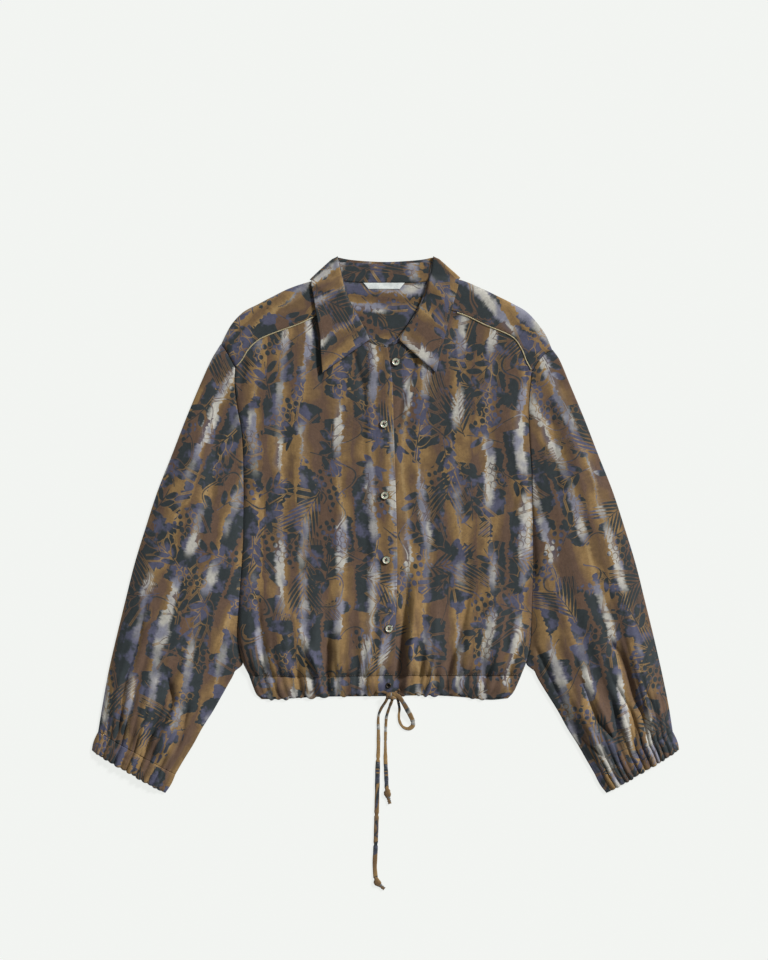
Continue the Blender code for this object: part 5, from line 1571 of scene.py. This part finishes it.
def addTurned(name, profile, x, y, z, material, turned=0.0, holes=False, steps=48):
    # a turned disc, with four dents where it has sewing holes
    angles = np.linspace(0, 2 * math.pi, steps, endpoint=False)
    rings, uvs, faces = [], [], []
    top = int(np.argmax([height for radius, height in profile]))
    for k, (radius, height) in enumerate(profile):
        heights = np.full(steps, float(height))
        ring = np.column_stack([radius * np.cos(angles), radius * np.sin(angles), heights])
        if holes and k <= top:
            far = np.hypot(np.abs(ring[:, 0]) - trim["holeAt"], np.abs(ring[:, 1]) - trim["holeAt"])
            ring[:, 2] -= trim["holeDepth"] * ease((trim["hole"] - far) / 0.4)
        rings.append(ring)
    flat = np.concatenate(rings)
    for k in range(len(profile) - 1):
        for j in range(steps):
            i = (j + 1) % steps
            faces.append([(k + 1) * steps + j, (k + 1) * steps + i, k * steps + i, k * steps + j])
            uvs += [tuple(flat[n][:2]) for n in faces[-1]]
    c, s = math.cos(turned), math.sin(turned)
    across, along = flat[:, 0] * c - flat[:, 1] * s, flat[:, 0] * s + flat[:, 1] * c
    return addMesh(name, np.column_stack([across + x, along + y, flat[:, 2] + z]), faces, uvs, material)


def addButton(number, x, y, turned, cloth):
    z = highest(cloth, x, y, 2.5, 5.0) + 0.1
    made = addTurned(f"button{number}", trim["buttonProfile"], x, y, z, pearlButton, turned, True)
    dress(made, f"button_{number}")
    c, s = math.cos(turned), math.sin(turned)
    at = trim["holeAt"]
    for word, sign, over in (("Over", 1, 0.12), ("Under", -1, 0.0)):
        route = []
        for share in np.linspace(0, 1, 9):
            px, py = mix((-at, -at * sign), (at, at * sign), share)
            lift = 0.75 * math.sin(math.pi * share) ** 0.5 + over
            route.append((x + px * c - py * s, y + px * s + py * c, z + 1.0 + lift))
        dress(addTube(f"button{number}Thread{word}", route, 0.85, 0.5, buttonThread, 8))


def addLabel(cloth):
    def at(across, up):
        bottom, top = curveAt(trim["labelBottom"], across), curveAt(trim["labelTop"], across)
        x, y = np.moveaxis(mix(bottom, top, up), -1, 0)
        base = np.vectorize(cloth)(x, y)
        ends = turnedDown(across * 50, 1.2) + turnedDown((1 - across) * 50, 1.2)
        z = base.max() + 1.9 + 0.35 * np.sin(across * 7) * np.sin(math.pi * up)
        z = z - 0.5 * (turnedDown(up * 8.6, 1.0) + ends)
        return x, y, z, x, y

    columns, rows = shares(50, 1.6), shares(9, 0.8, (0, 0.3, 0.7, 1.2))
    addCloth("neckLabel", columns, rows, at, "label", wall=trim["labelWall"], ribbon=labelRibbon)


def addKnotTail(number, points, cloth):
    along = np.linspace(0, 1, 40)
    spots = curveAt(points, along)
    rises = smoothed(np.array([cloth(x, y) for x, y in spots]), 9)
    path = np.column_stack([spots[:, 0], spots[:, 1], rises + 1.0 + 0.5 * np.sin(along * 9)])
    widths = 0.62 + 0.16 * np.sin(along * 14 + number) - 0.1 * along
    dress(addTube(f"knotTail{number}", path, 5.0, 1.3, printedCloth, 12, widths, 0.8))


def addStitches(name, line, cloth):
    # short raised loops of thread, one after the other along a line
    spots = np.array(line, float)
    length = float(np.linalg.norm(np.diff(curveAt(spots, np.linspace(0, 1, 200)), axis=0), axis=1).sum())
    count = max(2, int(length / trim["stitchGap"]))
    points, faces, uvs = [], [], []
    half, lifts = trim["stitchLength"] / 2 / length, (-0.25, 0.16, 0.16, -0.25)
    for k in range(count):
        middle = (k + 0.5) / count
        for part, lift in zip((-1, -0.45, 0.45, 1), lifts):
            share = middle + part * half
            x, y = curveAt(spots, share)
            ahead = curveAt(spots, min(share + 0.001, 1.0)) - curveAt(spots, max(share - 0.001, 0.0))
            ahead = ahead / np.linalg.norm(ahead)
            base = cloth(x, y)
            for side, up in ((-1, -0.2), (0, 0.12), (1, -0.2)):
                step = side * trim["stitchWidth"] / 2
                points.append((x - ahead[1] * step, y + ahead[0] * step, base + lift + up))
        first = k * 12
        for station in range(3):
            for side in range(2):
                a = first + station * 3 + side
                faces.append([a + 3, a + 4, a + 1, a])
                v = middle * length + station
                uvs += [(side * 0.3, v), (side * 0.3 + 0.3, v)] * 2
    dress(addMesh(name, points, faces, uvs, stitchThread))


onYoke, onFront = heightOn(yokePiece, frontRight, frontLeft), heightOn(frontRight)
onFrontUnder, onCollar = heightOn(frontLeft), heightOn(collarPiece)
addPiping("pipingRight", "piping_right", outline["yokeSeamLeft"], onYoke)
addPiping("pipingLeft", "piping_left", outline["yokeSeamRight"], onYoke)
for number, (x, y, turned) in enumerate(trim["buttons"], 1):
    addButton(number, x, y, turned, onFrontUnder if number == 1 else onFront)
eyeX, eyeY = trim["eyelet"]
eyeZ = highest(heightOn(hemRight), eyeX, eyeY, 3.5) + 0.05
dress(addTurned("hemEyelet", trim["eyeletProfile"], eyeX, eyeY, eyeZ, darkBronze), "eyelet")
addLabel(heightOn(yokePiece))
onCasing = heightOn(hemRight, hemLeft)
for number, points in enumerate(trim["knotTails"], 1):
    addKnotTail(number, points, onCasing)
hemSeam, meet = outline["hemSeam"], trim["stitchesMeet"]
addStitches("hemStitchesRight", moved(cut(hemSeam, 0.012, meet), 0, 1.6), onFront)
addStitches("hemStitchesLeft", moved(cut(hemSeam, meet + 0.004, 0.988), 0, 1.6), onFrontUnder)
addStitches("collarStitchesRight", trim["collarStitchesRight"], onCollar)
addStitches("collarStitchesLeft", trim["collarStitchesLeft"], onCollar)
addStitches("placketStitches", trim["placketStitches"], onFront)
print("trim made")


# Floor and light

studio = {
    "floor": (0.12, 0.12, 0.12, 1),
    "floorGlow": (0.780, 0.797, 0.772, 1),  # so that the floor stays as pale beside the blouse
    "floorDrop": 0.0003,  # in metres, so that nothing lies in the floor
    "sunTilt": 56.0,  # degrees
    "sunTurn": 40.0,  # from the right
    "sunSoftness": 12.0,
    "sunStrength": 3.75,
    "world": 0.25,
    "worldColour": (0.97, 1.0, 0.98, 1),
}
tilt, turn, softness = [math.radians(studio[word]) for word in ("sunTilt", "sunTurn", "sunSoftness")]
sun = bpy.data.lights.new("sun", "SUN")
sun.angle, sun.energy = softness, studio["sunStrength"]
sunLight = bpy.data.objects.new("sun", sun)
aim = Vector((math.cos(turn) * math.tan(tilt), math.sin(turn) * math.tan(tilt), 1))
sunLight.location = aim * 2
sunLight.rotation_euler = aim.to_track_quat("Z", "Y").to_euler()
bpy.context.scene.collection.objects.link(sunLight)
world = bpy.data.worlds.new("studio")
world.use_nodes = True
backdrop = world.node_tree.nodes["Background"]
backdrop.inputs[0].default_value = studio["worldColour"]
backdrop.inputs[1].default_value = studio["world"]
bpy.context.scene.world = world
floorMaterial, floorNodes, floorShader = newMaterial("paleFloor", studio["floor"], 0.9)
floorShader.inputs["Specular IOR Level"].default_value = 0.0
floorShader.inputs["Emission Color"].default_value = studio["floorGlow"]
floorShader.inputs["Emission Strength"].default_value = 1.0
bpy.ops.mesh.primitive_plane_add(size=8, location=(0, 0, -studio["floorDrop"]))
floor = bpy.context.object
floor.name = "floor"
floor.data.materials.append(floorMaterial)
bpy.context.scene.view_settings.view_transform = "Standard"
print("light set")
